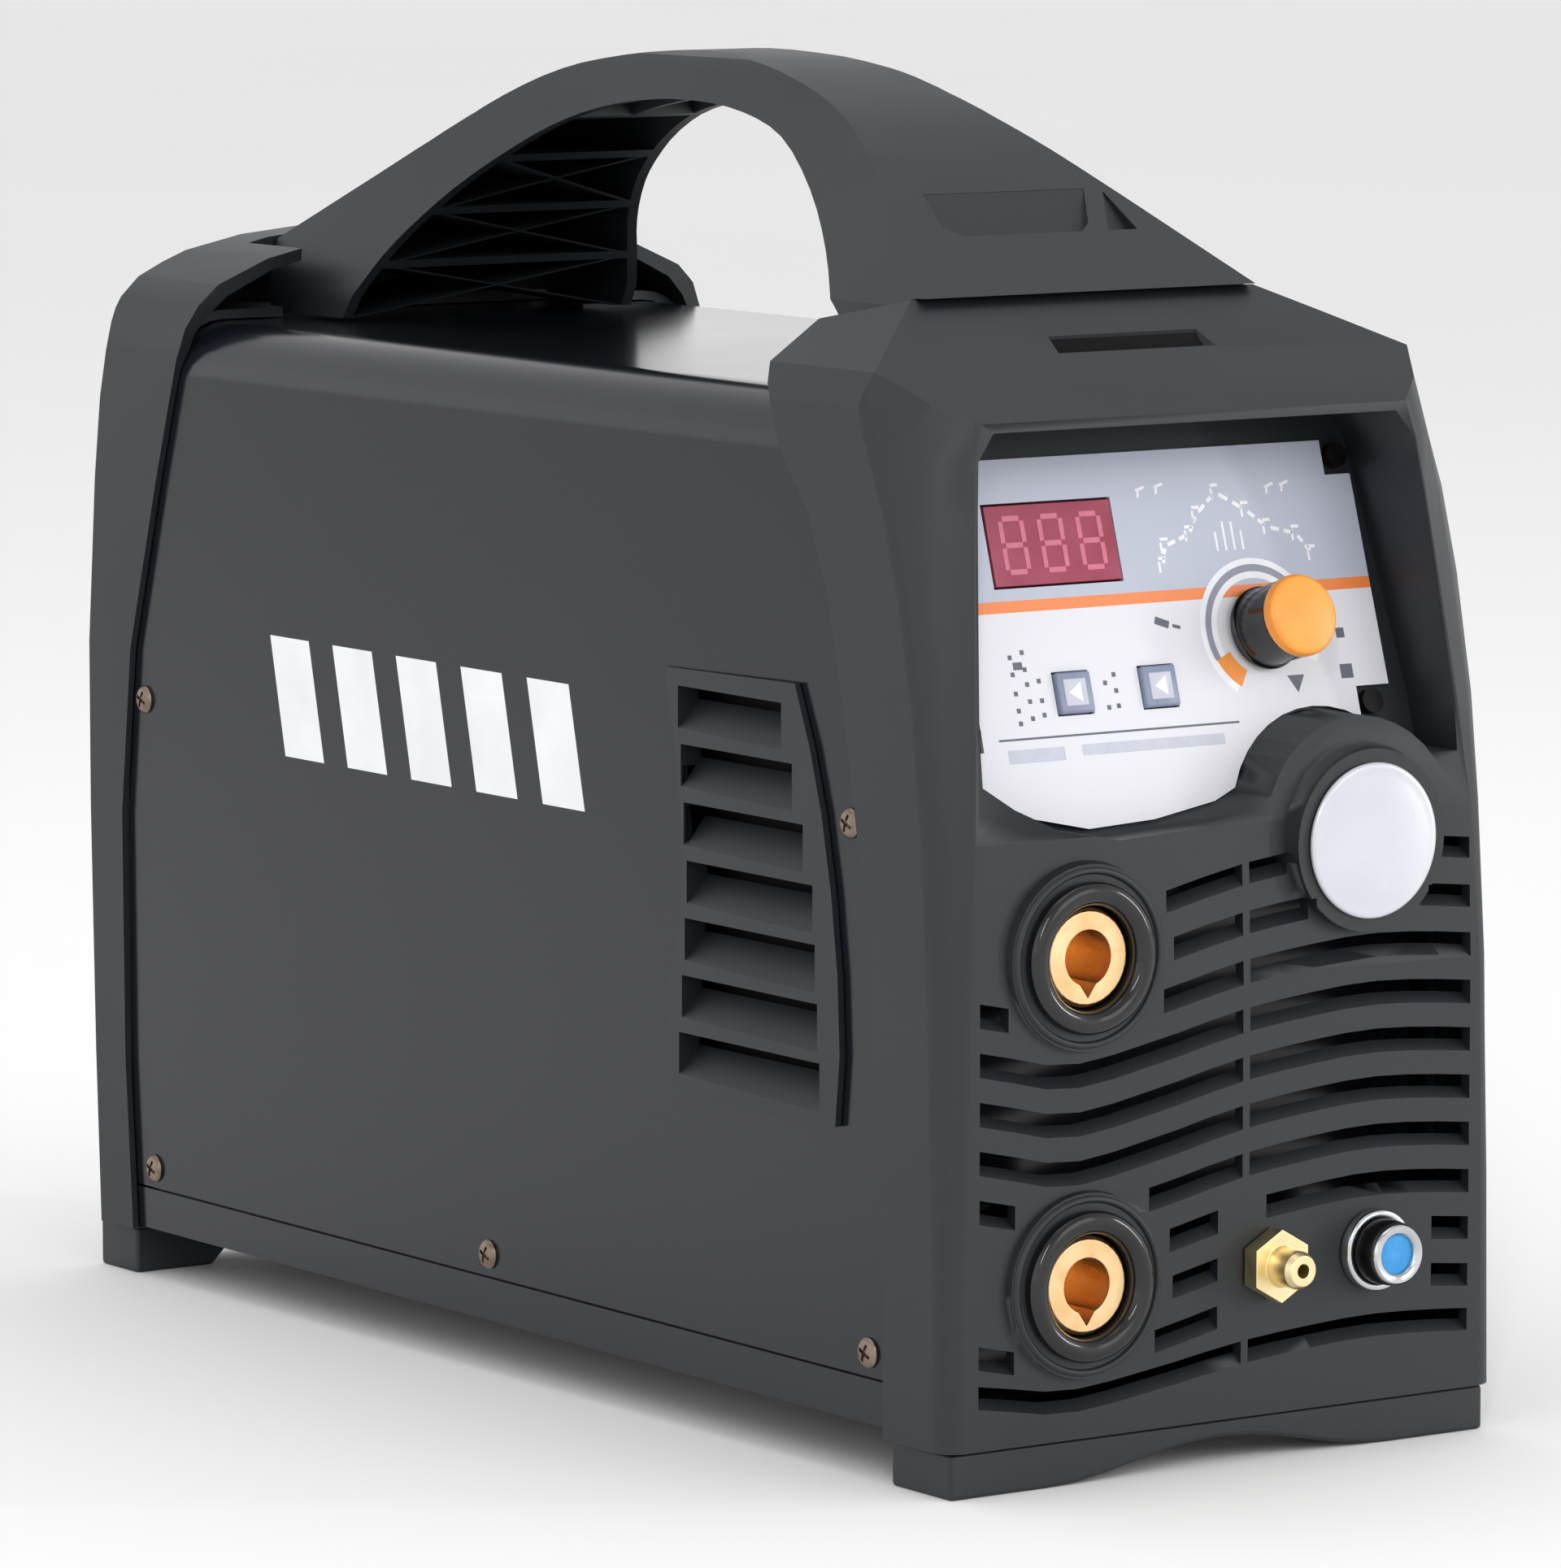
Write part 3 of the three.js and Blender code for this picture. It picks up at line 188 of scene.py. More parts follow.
# extruded rubber hose with a cloth impression
hoseRubber = grainedMaterial("extruded_hose_rubber", "#1F2123", "#2A2C2E", 0.62, ior=1.52,
                             patch=10, grain=1.1, relief=0.5, depth=0.08)
# red translucent acrylic over the digits: deep, glossy
redAcrylic = grainedMaterial("red_acrylic", "#96384E", "#A34559", 0.12, ior=1.49,
                             patch=12, grain=0.8, relief=0.05, depth=0.01, wander=0.03)
# signal red rocker of the mains switch
redRocker = grainedMaterial("red_polycarbonate", "#A81F18", "#BE2B22", 0.3, ior=1.58,
                            patch=7, grain=0.5, relief=0.1, depth=0.02)
# painted shade: a near-black, very rough fill that stands in for the shade deep in the roof slot
slotShadeFill = grainedMaterial("painted_shade_fill", "#060607", "#0A0A0B", 0.92, ior=1.3,
                           patch=8, grain=0.7, relief=0.5, depth=0.1, wander=0.04)
# painted shade: a near-black sheet with a paper grain, set behind the side vents so the openings look dark
ventShadeSheet = grainedMaterial("painted_shade_sheet", "#0B0B0C", "#101011", 0.8, ior=1.45,
                            patch=16, grain=1.0, relief=0.35, depth=0.05, wander=0.05)
# blued steel: almost black, oily sheen
bluedSteel = grainedMaterial("blued_steel", "#1B1B1D", "#252527", 0.34, metallic=0.8,
                             patch=3, grain=0.3, relief=0.2, depth=0.02)
print("materials made")

bpy.ops.object.select_all(action="DESELECT")
floorWidth = 40      # metres, so that it reaches past the picture on every side
bpy.ops.mesh.primitive_plane_add(size=floorWidth, location=(0, 0, 0))
floor = bpy.context.object
floor.name = "studio_floor"
floorPaint = grainedMaterial("matt_studio_paper", "#FBFBFA", "#FDFDFC", 0.9, ior=1.45,
                             patch=900, grain=30, relief=0.05, depth=0.05, wander=0.02)
floor.data.materials.append(floorPaint)

world = bpy.data.worlds.new("soft_studio")
bpy.context.scene.world = world
world.use_nodes = True
sky = world.node_tree.nodes["Background"]
sky.inputs["Strength"].default_value = 1.21
# A pale room: white round the horizon, greyer overhead.
heading = addNode(world, "ShaderNodeTexCoord")
upward = addNode(world, "ShaderNodeSeparateXYZ", {}, [("Vector", heading, "Generated")])
roomTone = addNode(world, "ShaderNodeValToRGB", {}, [("Fac", upward, "Z")])
horizonWhite = (0.2, (1.0, 1.0, 1.0, 1.0))
ceilingGrey = (0.75, (0.55, 0.55, 0.56, 1.0))
setRamp(roomTone, [horizonWhite, ceilingGrey])
connect(world, roomTone, "Color", sky, "Color")


def softBox(name, location, target, size, power):
    light = bpy.data.lights.new(name, "AREA")
    light.shape = "RECTANGLE"
    light.size, light.size_y = size
    light.energy = power
    lamp = bpy.data.objects.new(name, light)
    bpy.context.scene.collection.objects.link(lamp)
    lamp.location = location
    lamp.rotation_euler = (Vector(target) - Vector(location)).to_track_quat("-Z", "Y").to_euler()


# Name: where it hangs, what it points at, its width and height in metres, its power in watts.
lights = {
    "overhead_box": ((-0.2, 0.3, 2.2), (0, 0, 0.2), (1.8, 1.8), 9),
    "left_box": ((-2.2, -0.6, 1.1), (0, 0, 0.15), (1.2, 1.4), 2),
    "front_box": ((0.8, -2.4, 1.2), (0, 0, 0.15), (1.4, 1.2), 7),
    "left_strip": ((-1.5, -2.0, 1.5), (0, -0.2, 0.1), (0.12, 1.1), 11),
    "right_strip": ((1.9, -1.5, 0.5), (0, -0.2, 0.1), (0.12, 0.9), 8),
}
for lightName, setting in lights.items():
    softBox(lightName, *setting)

# The camera: its place in metres, where it looks, which way is up, and its lens in millimetres.
view = {
    "location": (-1.27724, -1.86739, 0.41594),
    "direction": (0.56257, 0.81784, -0.12102),
    "up": (0.0686, 0.0997, 0.9927),
    "lens": 211.4,
}
cameraData = bpy.data.cameras.new("main_view")
cameraData.lens = view["lens"]
camera = bpy.data.objects.new("main_view", cameraData)
bpy.context.scene.collection.objects.link(camera)
back = -Vector(view["direction"]).normalized()
right = Vector(view["up"]).cross(back).normalized()
turned = Matrix((right, back.cross(right), back)).transposed().to_4x4()
camera.matrix_world = Matrix.Translation(view["location"]) @ turned
bpy.context.scene.camera = camera
bpy.context.scene.view_settings.view_transform = "Standard"
print("camera and lights placed")


# printed polycarbonate film: grey field above, pale field below, a thin orange line between them
def printedFilmMaterial():
    zone = {"bottom": 0.150, "top": 0.234, "lineLow": 0.1992, "lineHigh": 0.2016}      # heights in metres
    material, shader, place = newMaterial("printed_polycarbonate_film")
    axes = addNode(material, "ShaderNodeSeparateXYZ", {}, [("Vector", place, "Object")])
    height = addNode(material, "ShaderNodeMapRange", {
        "From Min": zone["bottom"], "From Max": zone["top"],
    }, [("Value", axes, "Z")])
    zones = addNode(material, "ShaderNodeValToRGB", {}, [("Fac", height, "Result")])
    zones.color_ramp.interpolation = "CONSTANT"
    span = zone["top"] - zone["bottom"]
    setRamp(zones, [
        (0.0, toLinear("#DEDEE4")),
        ((zone["lineLow"] - zone["bottom"]) / span, toLinear("#EE8444")),
        ((zone["lineHigh"] - zone["bottom"]) / span, toLinear("#B6BBCB")),
    ])
    cloud = addNode(material, "ShaderNodeTexNoise", {"Scale": 1 / (22 * mm), "Detail": 2.0},
                    [("Vector", place, "Object")])
    rough = addNode(material, "ShaderNodeMapRange", {"To Min": 0.26, "To Max": 0.36},
                    [("Value", cloud, "Fac")])
    connect(material, zones, "Color", shader, "Base Color")
    connect(material, rough, "Result", shader, "Roughness")
    shader.inputs["IOR"].default_value = 1.58
    return material


printedFilm = printedFilmMaterial()
# screen printing inks: thin, matt, a shade uneven
inkLayer = {"roughness": 0.5, "ior": 1.5, "patch": 4, "grain": 0.4, "relief": 0.05, "depth": 0.01}
whiteInk = grainedMaterial("white_screen_ink", "#E9E9EE", "#F4F4F7", **inkLayer)
greyInk = grainedMaterial("grey_screen_ink", "#8A8D9C", "#9699A8", **inkLayer)
darkInk = grainedMaterial("dark_screen_ink", "#5A5D68", "#666976", **inkLayer)
orangeInk = grainedMaterial("orange_screen_ink", "#EE8E3C", "#F59B4A", **inkLayer)
paleInk = grainedMaterial("pale_screen_ink", "#BFC2CE", "#C8CBD6", **inkLayer)
# tinted key caps: grey blue, satin
frameBlue = grainedMaterial("grey_blue_key_resin", "#8089A2", "#8E97AF", 0.4, ior=1.49, patch=5, grain=0.5,
                            relief=0.08, depth=0.01)
# light emitting segments behind red acrylic, unlit: paler than the window
paleSegment = grainedMaterial("unlit_segment_resin", "#C9667C", "#D2728A", 0.4, ior=1.5, patch=3, grain=0.5,
                              relief=0.05, depth=0.01)
# white vinyl cut film on the cover
whiteVinyl = grainedMaterial("white_cut_vinyl", "#E6E7EA", "#F1F2F4", 0.36, ior=1.5, patch=20, grain=0.9,
                             relief=0.08, depth=0.02)


def clearSelection():
    bpy.ops.object.select_all(action="DESELECT")
    bpy.context.view_layer.objects.active = None


def takeUp(piece):
    clearSelection()
    piece.select_set(True)
    bpy.context.view_layer.objects.active = piece


def startMesh(name):
    clearSelection()
    bpy.ops.mesh.primitive_plane_add(size=0.001)
    piece = bpy.context.object
    piece.name = name
    piece.data.name = name
    return piece


# A line of points drawn by extruding one vertex, in millimetres.
def drawLine(piece, points, closed=False):
    bpy.ops.object.mode_set(mode="EDIT")
    bpy.ops.mesh.select_all(action="SELECT")
    bpy.ops.mesh.merge(type="CENTER")
    here = Vector(points[0]) * mm
    bpy.ops.transform.translate(value=here)
    for point in points[1:]:
        there = Vector(point) * mm
        bpy.ops.mesh.extrude_vertices_move(TRANSFORM_OT_translate={"value": there - here})
        here = there
    bpy.ops.mesh.select_all(action="SELECT")
    if closed:
        bpy.ops.mesh.edge_face_add()


# A turned piece: a [radius, depth] outline spun about the Y axis, depth running to the back.
def turn(name, outline, steps=64):
    piece = startMesh(name)
    drawLine(piece, [(radius, depth, 0) for radius, depth in outline])
    bpy.ops.mesh.spin(steps=steps, angle=math.tau, center=(0, 0, 0), axis=(0, 1, 0))
    bpy.ops.mesh.select_all(action="SELECT")
    bpy.ops.mesh.remove_doubles(threshold=0.00001)
    bpy.ops.mesh.normals_make_consistent(inside=False)
    bpy.ops.object.mode_set(mode="OBJECT")
    return piece


def withModifier(piece, kind, **settings):
    takeUp(piece)
    modifier = piece.modifiers.new(kind.lower(), kind)
    for key, value in settings.items():
        setattr(modifier, key, value)
    bpy.ops.object.modifier_apply(modifier=modifier.name)


def finishPiece(piece, material, body, replaced=(), smooth=35):
    takeUp(piece)
    if smooth:
        bpy.ops.object.shade_smooth_by_angle(angle=math.radians(smooth))
    if material is not None:
        piece.data.materials.clear()
        piece.data.materials.append(material)
    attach(piece, body)
    if replaced:
        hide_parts(*replaced)
    return piece


# A finished copy of a machined or moulded part: loose triangles merged, flats cleaned, edges eased.
# Distances are in millimetres and angles in degrees.
easing = {"weld": 0.02, "flat": 0.1, "segments": 2, "sharpest": 28}


def easedCopy(nodeName, pieceName, radius):
    piece = nodes[nodeName].copy()
    piece.data = nodes[nodeName].data.copy()
    piece.parent = None
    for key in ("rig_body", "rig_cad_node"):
        if key in piece:
            del piece[key]
    piece.name = pieceName
    bpy.context.scene.collection.objects.link(piece)
    takeUp(piece)
    bpy.ops.object.mode_set(mode="EDIT")
    bpy.ops.mesh.select_all(action="SELECT")
    bpy.ops.mesh.remove_doubles(threshold=easing["weld"] * mm)
    bpy.ops.mesh.dissolve_limited(angle_limit=math.radians(easing["flat"]))
    bpy.ops.object.mode_set(mode="OBJECT")
    if radius:
        withModifier(piece, "BEVEL", width=radius * mm, segments=easing["segments"], limit_method="ANGLE",
                     angle_limit=math.radians(easing["sharpest"]), use_clamp_overlap=True,
                     miter_outer="MITER_ARC")
    return piece


def joinUp(pieces, name):
    clearSelection()
    for piece in pieces:
        piece.select_set(True)
    bpy.context.view_layer.objects.active = pieces[0]
    bpy.ops.object.join()
    whole = bpy.context.object
    whole.name = name
    whole.data.name = name
    return whole


def settle(piece, matrix):
    takeUp(piece)
    piece.matrix_world = matrix @ piece.matrix_world
    bpy.ops.object.transform_apply(location=True, rotation=True, scale=True)
    return piece


# A flat outline in x and z, drawn at depth y and given its thickness towards the back.
def plate(name, outline, y, thickness):
    piece = startMesh(name)
    drawLine(piece, [(x, y, z) for x, z in outline], closed=True)
    bpy.ops.mesh.extrude_region_move(TRANSFORM_OT_translate={"value": (0, thickness * mm, 0)})
    bpy.ops.mesh.select_all(action="SELECT")
    bpy.ops.mesh.normals_make_consistent(inside=False)
    bpy.ops.object.mode_set(mode="OBJECT")
    return piece


inkThickness = 0.04      # millimetres, a little thicker than real ink


# A straight printed stroke, centred between its ends.
def stroke(start, end, width, y):
    clearSelection()
    bpy.ops.mesh.primitive_plane_add(size=1)
    mark = bpy.context.object
    run = Vector((end[0] - start[0], 0, end[1] - start[1])) * mm
    centre = Vector(((start[0] + end[0]) / 2, y, (start[1] + end[1]) / 2)) * mm
    lie = Matrix.Rotation(math.atan2(run.x, run.z), 4, "Y") @ Matrix.Rotation(math.pi / 2, 4, "X")
    return settle(mark, Matrix.Translation(centre) @ lie @ Matrix.Diagonal((width * mm, run.length, 1, 1)))


# A flat printed ring or arc, angles in degrees from x towards z.
def printedArc(name, centre, inner, outer, start, end, y, steps=48):
    angles = [math.radians(start + (end - start) * i / steps) for i in range(steps + 1)]
    rim = [(centre[0] + outer * math.cos(a), centre[1] + outer * math.sin(a)) for a in angles]
    hub = [(centre[0] + inner * math.cos(a), centre[1] + inner * math.sin(a)) for a in reversed(angles)]
    return plate(name, rim + hub, y, inkThickness)


# Lays marks on the control panel as one piece; a thickness of 0 leaves plates as they are.
def printOn(pieces, name, ink, thickness=inkThickness):
    marks = joinUp(pieces, name)
    if thickness:
        withModifier(marks, "SOLIDIFY", thickness=thickness * mm, offset=0)
    settle(marks, panelFrame)
    return finishPiece(marks, ink, "machine", smooth=0)


# Rounds the sharp edges whose middle passes the test, over a fixed width in millimetres.
def roundEdges(piece, wanted, width, segments=3, sharpest=25):
    takeUp(piece)
    bpy.ops.object.mode_set(mode="EDIT")
    bpy.ops.mesh.select_mode(type="EDGE")
    bpy.ops.mesh.select_all(action="DESELECT")
    mesh = bmesh.from_edit_mesh(piece.data)
    for edge in mesh.edges:
        middle = (edge.verts[0].co + edge.verts[1].co) / (2 * mm)
        isSharp = len(edge.link_faces) == 2 and edge.calc_face_angle(0) > math.radians(sharpest)
        if isSharp and wanted(middle):
            edge.select_set(True)
    bmesh.update_edit_mesh(piece.data)
    bpy.ops.mesh.bevel(offset=width * mm, segments=segments, clamp_overlap=True)
    bpy.ops.mesh.select_mode(type="VERT")
    bpy.ops.object.mode_set(mode="OBJECT")


bodies = frame["record"]["behaviour"]["bodies"]
bodyOf = {name: body for body, names in bodies.items() for name in names}

# Where the front moulding's long edges lie, in millimetres.
bezelEdges = {"side": 77, "cornerTop": 258, "shoulderLow": 243, "shoulderBack": 74, "shoulderInner": 46}


def onOuterCorner(at):
    return abs(at.x) > bezelEdges["side"] and at.z < bezelEdges["cornerTop"]


def onShoulder(at):
    behindGrille = at.y - grilleY / mm
    return (at.z > bezelEdges["shoulderLow"] and behindGrille < bezelEdges["shoulderBack"]
            and abs(at.x) > bezelEdges["shoulderInner"])


# Long edges to round, listed: which edges, how wide in millimetres, and how sharp they are at least.
softEdges = {
    "front_bezel": [(onOuterCorner, 2.4, 30), (onShoulder, 2.8, 12)],
}

# Mouldings, castings and sheet: (piece, edge radius, material, slot).
easedParts = {
    "front_bezel": ("front_moulding", 0, charcoalAbs, "charcoal_plastic"),
    "rear_bezel": ("rear_moulding", 0.9, charcoalAbs, "charcoal_plastic"),
    "handle": ("carrying_handle", 2.2, charcoalAbs, "charcoal_plastic"),
    "side_vent_left": ("vent_left", 0, charcoalAbs, "charcoal_plastic"),
    "side_vent_right": ("vent_right", 0, charcoalAbs, "charcoal_plastic"),
    "front_foot": ("foot_front", 1.0, charcoalAbs, "charcoal_plastic"),
    "rear_foot": ("foot_rear", 1.0, charcoalAbs, "charcoal_plastic"),
    "base_tray": ("tray", 0.3, powderCoat, "cover_steel"),
    "outer_cover": ("cover", 0.0, powderCoat, "cover_steel"),
    "rear_panel": ("back_plate", 0.3, powderCoat, "cover_steel"),
    "fan_rotor": ("fan_blades", 0.4, blackNylon, "black_plastic"),
    "fan_frame": ("fan_housing", 0.6, blackNylon, "black_plastic"),
    "power_switch_housing": ("switch_housing", 0.4, blackNylon, "black_plastic"),
    "power_switch_rocker": ("switch_rocker", 0.5, redRocker, "switch_red"),
    "cable_gland": ("gland", 0.4, blackNylon, "black_plastic"),
    "gas_inlet": ("gas_inlet_fitting", 0.3, lacqueredBrass, "fitting_brass"),
    "gas_outlet": ("gas_outlet_fitting", 0.8, lacqueredBrass, "fitting_brass"),
    "socket_insert_upper": ("output_brass_upper", 0.35, turnedBrass, "socket_brass"),
    "socket_insert_lower": ("output_brass_lower", 0.35, turnedBrass, "socket_brass"),
    "torch_socket_insert": ("torch_contacts", 0.3, blueAcetal, "blue_insert"),
    "display_module": ("display_window", 0.3, redAcrylic, "display_lens"),
    "knob_cap": ("knob_top", 0.5, orangeCap, "orange_plastic"),
}
for nodeName, (pieceName, radius, material, slotName) in easedParts.items():
    piece = easedCopy(nodeName, pieceName, radius)
    if nodeName in softEdges:
        for wanted, width, sharpest in softEdges[nodeName]:
            roundEdges(piece, wanted, width, sharpest=sharpest)
    finishPiece(piece, material, bodyOf[nodeName], [nodeName])
    withModifier(piece, "WEIGHTED_NORMAL", weight=100, keep_sharp=True)      # flats shade flat
print("mouldings and sheet finished:", len(easedParts))

# Bayonet output sockets: a glossy rounded nut, and a raised rim on the moulding round it.
outputSocket = {
    "x": -41.5, "upperZ": 122.6, "lowerZ": 46.8,
    "nut": [(12.0, -1.4), (12.2, -2.6), (12.9, -3.9), (14.0, -4.6), (15.4, -4.75), (16.6, -4.4),
            (17.35, -3.7), (17.65, -2.8), (17.6, -1.8), (15.3, -1.8), (15.3, 23.5), (12.0, 23.5),
            (12.0, -1.4)],
    "rim": [(19.2, -1.45), (19.5, -2.1), (20.1, -2.35), (20.7, -2.1), (21.0, -1.45), (19.2, -1.45)],
}
for level in ("upper", "lower"):
    place = Matrix.Translation((outputSocket["x"] * mm, grilleY, outputSocket[level + "Z"] * mm))
    nut = settle(turn("output_nut_" + level, outputSocket["nut"]), place)
    finishPiece(nut, blackNylon, "machine", ["socket_collar_" + level], smooth=50)
    rim = settle(turn("output_rim_" + level, outputSocket["rim"]), place)
    finishPiece(rim, charcoalAbs, "machine", smooth=60)

# Torch control socket: bright nut, dark barrel, bright front ring.
torchSocket = {
    "place": (42.4, 47),
    "nut": [(7.95, -0.3), (7.95, -2.9), (8.3, -3.1), (9.1, -3.1), (9.6, -2.6), (9.6, -0.3), (7.95, -0.3)],
    "barrel": [(6.7, -8.1), (7.4, -8.1), (7.6, -7.6), (7.75, -3.4), (7.75, 7.8), (6.7, 7.8), (6.7, -8.1)],
    "ring": [(6.35, -8.2), (7.1, -8.2), (7.3, -8.6), (7.2, -9.7), (6.7, -10.25), (5.4, -10.1), (4.7, -9.5),
             (4.7, -8.9), (6.35, -8.9), (6.35, -8.2)],
}
torchPlace = Matrix.Translation((torchSocket["place"][0] * mm, grilleY, torchSocket["place"][1] * mm))
for part, material, replaced in (("nut", nickelPlate, []), ("barrel", bluedSteel, ["torch_socket_shell"]),
                                 ("ring", nickelPlate, [])):
    piece = settle(turn("torch_" + part, torchSocket[part], steps=48), torchPlace)
    finishPiece(piece, material, "machine", replaced, smooth=50)

# Blank domed badge with a bright rim.
badgePlate = {
    "place": (39, 144),
    "dome": [(0, -3.12), (18.2, -3.12), (18.3, -3.5), (18.1, -4.0), (17.5, -4.3), (16.9, -4.25),
             (15.0, -4.5), (11.0, -4.78), (6.0, -4.94), (0, -5.0)],
}
badgeAt = Matrix.Translation((badgePlate["place"][0] * mm, grilleY, badgePlate["place"][1] * mm))
finishPiece(settle(turn("badge_disc", badgePlate["dome"], steps=96), badgeAt), silverFilm, "machine",
            ["badge"], smooth=60)
print("sockets and badge finished")

# Knob grip: a slim drum with shallow flutes, flared where it meets the panel.
knobGrip = {
    "centre": (27.7, 16.7), "flutes": 36, "fluteDepth": 0.22, "fluteRadius": 9.3,
    "flutedFrom": -5, "flutedTo": -15.2, "leastRadius": 9,
    "outline": [(0, -3.0), (9.5, -3.0), (9.9, -3.3), (9.9, -4.0), (9.35, -4.6), (9.2, -5.4),
                (9.45, -14.9), (9.3, -15.5), (8.2, -15.6), (8.2, -14.2), (0, -14.2), (0, -3.0)],
}
grip = turn("knob_grip", knobGrip["outline"], steps=2 * knobGrip["flutes"])
takeUp(grip)
bpy.ops.object.mode_set(mode="EDIT")
bpy.ops.mesh.select_all(action="DESELECT")
drum = bmesh.from_edit_mesh(grip.data)
for vertex in drum.verts:
    at = vertex.co / mm
    step = round(math.atan2(at.z, at.x) / math.pi * knobGrip["flutes"])
    along = knobGrip["flutedTo"] < at.y < knobGrip["flutedFrom"]
    outside = math.hypot(at.x, at.z) > knobGrip["leastRadius"]
    vertex.select = along and outside and step % 2 == 0
drum.select_flush_mode()
bmesh.update_edit_mesh(grip.data)
shrink = 1 - knobGrip["fluteDepth"] / knobGrip["fluteRadius"]
bpy.ops.transform.resize(value=(shrink, 1, shrink), center_override=(0, 0, 0))
bpy.ops.object.mode_set(mode="OBJECT")
knobX, knobZ = knobGrip["centre"]
knobPlace = panelFrame @ Matrix.Translation((knobX * mm, 0, knobZ * mm))
finishPiece(settle(grip, knobPlace), blackNylon, "knob", ["knob_body"], smooth=30)

# Wire fan guard: four round wire rings and two crossed bars.
wireGuard = {"z": 148, "rings": (14, 28, 42, 56), "wireRadius": 0.95, "tipRadius": 0.6, "reach": 73}
guardLow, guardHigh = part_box("fan_guard")
guardY = (guardLow.y + guardHigh.y) / 2
wires = []
for radius in wireGuard["rings"]:
    clearSelection()
    bpy.ops.mesh.primitive_torus_add(major_radius=radius * mm, minor_radius=wireGuard["wireRadius"] * mm,
                                     major_segments=72, minor_segments=12,
                                     rotation=(math.pi / 2, 0, 0),
                                     location=(0, guardY, wireGuard["z"] * mm))
    ring = bpy.context.object
    bpy.ops.object.transform_apply(location=True, rotation=True, scale=True)
    wires.append(ring)
reach, wire, tip = wireGuard["reach"], wireGuard["wireRadius"], wireGuard["tipRadius"]
barOutline = [(0, -reach), (tip, -reach), (wire, -reach + tip),
              (wire, reach - tip), (tip, reach), (0, reach)]
guardCentre = Matrix.Translation((0, guardY, wireGuard["z"] * mm))
for turnBy in (45, 135):
    bar = turn("bar", barOutline, steps=12)
    lie = guardCentre @ Matrix.Rotation(math.radians(turnBy), 4, "Y")
    wires.append(settle(bar, lie @ Matrix.Rotation(math.pi / 2, 4, "X")))
guard = joinUp(wires, "wire_fan_guard")
finishPiece(guard, wirePlate, bodyOf["fan_guard"], ["fan_guard"], smooth=60)
print("knob grip and fan guard finished")

# Turns a plate's width into depth behind the grille, so that its thickness runs across the machine.
edgeOn = Matrix.Translation((0, grilleY, 0)) @ Matrix.Rotation(math.pi / 2, 4, "Z")

# Painted shade in the roof slot: a near-black block stands in for the shade of the deep hole; its outline
# is in depth and height, and it runs across the slot.
slotShade = {"halfWidth": 21.2, "outline": [(36.3, 250.9), (42.5, 250.9), (42.5, 260.3), (36.6, 254.9)]}
slotShadePiece = plate("slot_shade_block", slotShade["outline"], -slotShade["halfWidth"], 2 * slotShade["halfWidth"])
roundEdges(slotShadePiece, lambda at: True, 0.2)
settle(slotShadePiece, edgeOn)
finishPiece(slotShadePiece, slotShadeFill, "machine")

# Painted shade: near-black sheets that stand beside the power board, behind the side vents, so the vent
# openings look dark.
ventShade = {"x": 66.0, "thickness": 0.8, "front": 36, "rear": 134, "low": 70, "high": 192, "corner": 6}
front, rear, low, high, corner = (ventShade[key] for key in ("front", "rear", "low", "high", "corner"))
clippedSheet = [(front + corner, low), (rear - corner, low), (rear, low + corner), (rear, high - corner),
                (rear - corner, high), (front + corner, high), (front, high - corner),
                (front, low + corner)]
for side, across in (("left", -1), ("right", 1)):
    sheet = plate("vent_shade_" + side, clippedSheet, -across * ventShade["x"], ventShade["thickness"])
    roundEdges(sheet, lambda at: True, 0.15, segments=2)
    settle(sheet, edgeOn)
    finishPiece(sheet, ventShadeSheet, "machine")

# Display digits: one bar outline, seven bars to a digit, three digits.
digits = {"centre": (-27.5, 40.5), "pitch": 11.0, "width": 6.0, "height": 12.6, "bar": 1.25, "y": -1.86}
half = digits["bar"] / 2
bars = []
for column in (-1, 0, 1):
    x0 = digits["centre"][0] + column * digits["pitch"]
    z0 = digits["centre"][1]
    w, h = digits["width"] / 2, digits["height"] / 2
    for z in (-h, 0, h):
        first, last = (x0 - w + half, z0 + z), (x0 + w - half, z0 + z)
        bars.append(stroke(first, last, digits["bar"], digits["y"]))
    for x in (-w, w):
        for low in (-h, 0):
            foot, head = z0 + low + half, z0 + low + h - half
            bars.append(stroke((x0 + x, foot), (x0 + x, head), digits["bar"], digits["y"]))
printOn(bars, "display_digits", paleSegment)

# Print on the control label, in the panel's millimetres: a welding cycle drawn as a dashed line with
# small marks at its corners, strokes under it, and pairs of marks beside it. All of it is ink.
inkY = -1.46
whiteMarks = []
arch = [(3, 33.5), (4.4, 38), (12, 40.5), (15, 45), (21.5, 50), (29.4, 45.4), (35, 41), (43, 39),
        (46.8, 34)]
dashes = {"starts": (0.12, 0.58), "length": 0.3}      # shares of each side of the arch
for (x0, z0), (x1, z1) in zip(arch, arch[1:]):
    for share in dashes["starts"]:
        until = share + dashes["length"]
        here = (x0 + (x1 - x0) * share, z0 + (z1 - z0) * share)
        there = (x0 + (x1 - x0) * until, z0 + (z1 - z0) * until)
        whiteMarks.append(stroke(here, there, 0.95, inkY))
for x, z in arch:
    whiteMarks.append(stroke((x - 1.1, z + 1.7), (x + 1.1, z + 1.7), 0.75, inkY))
    whiteMarks.append(stroke((x - 1.1, z - 1.7), (x - 1.1, z + 0.9), 0.65, inkY))
for x in (19.5, 22, 24.5, 27):
    whiteMarks.append(stroke((x, 36), (x, 44 - abs(x - 23.2) * 0.9), 0.6, inkY))
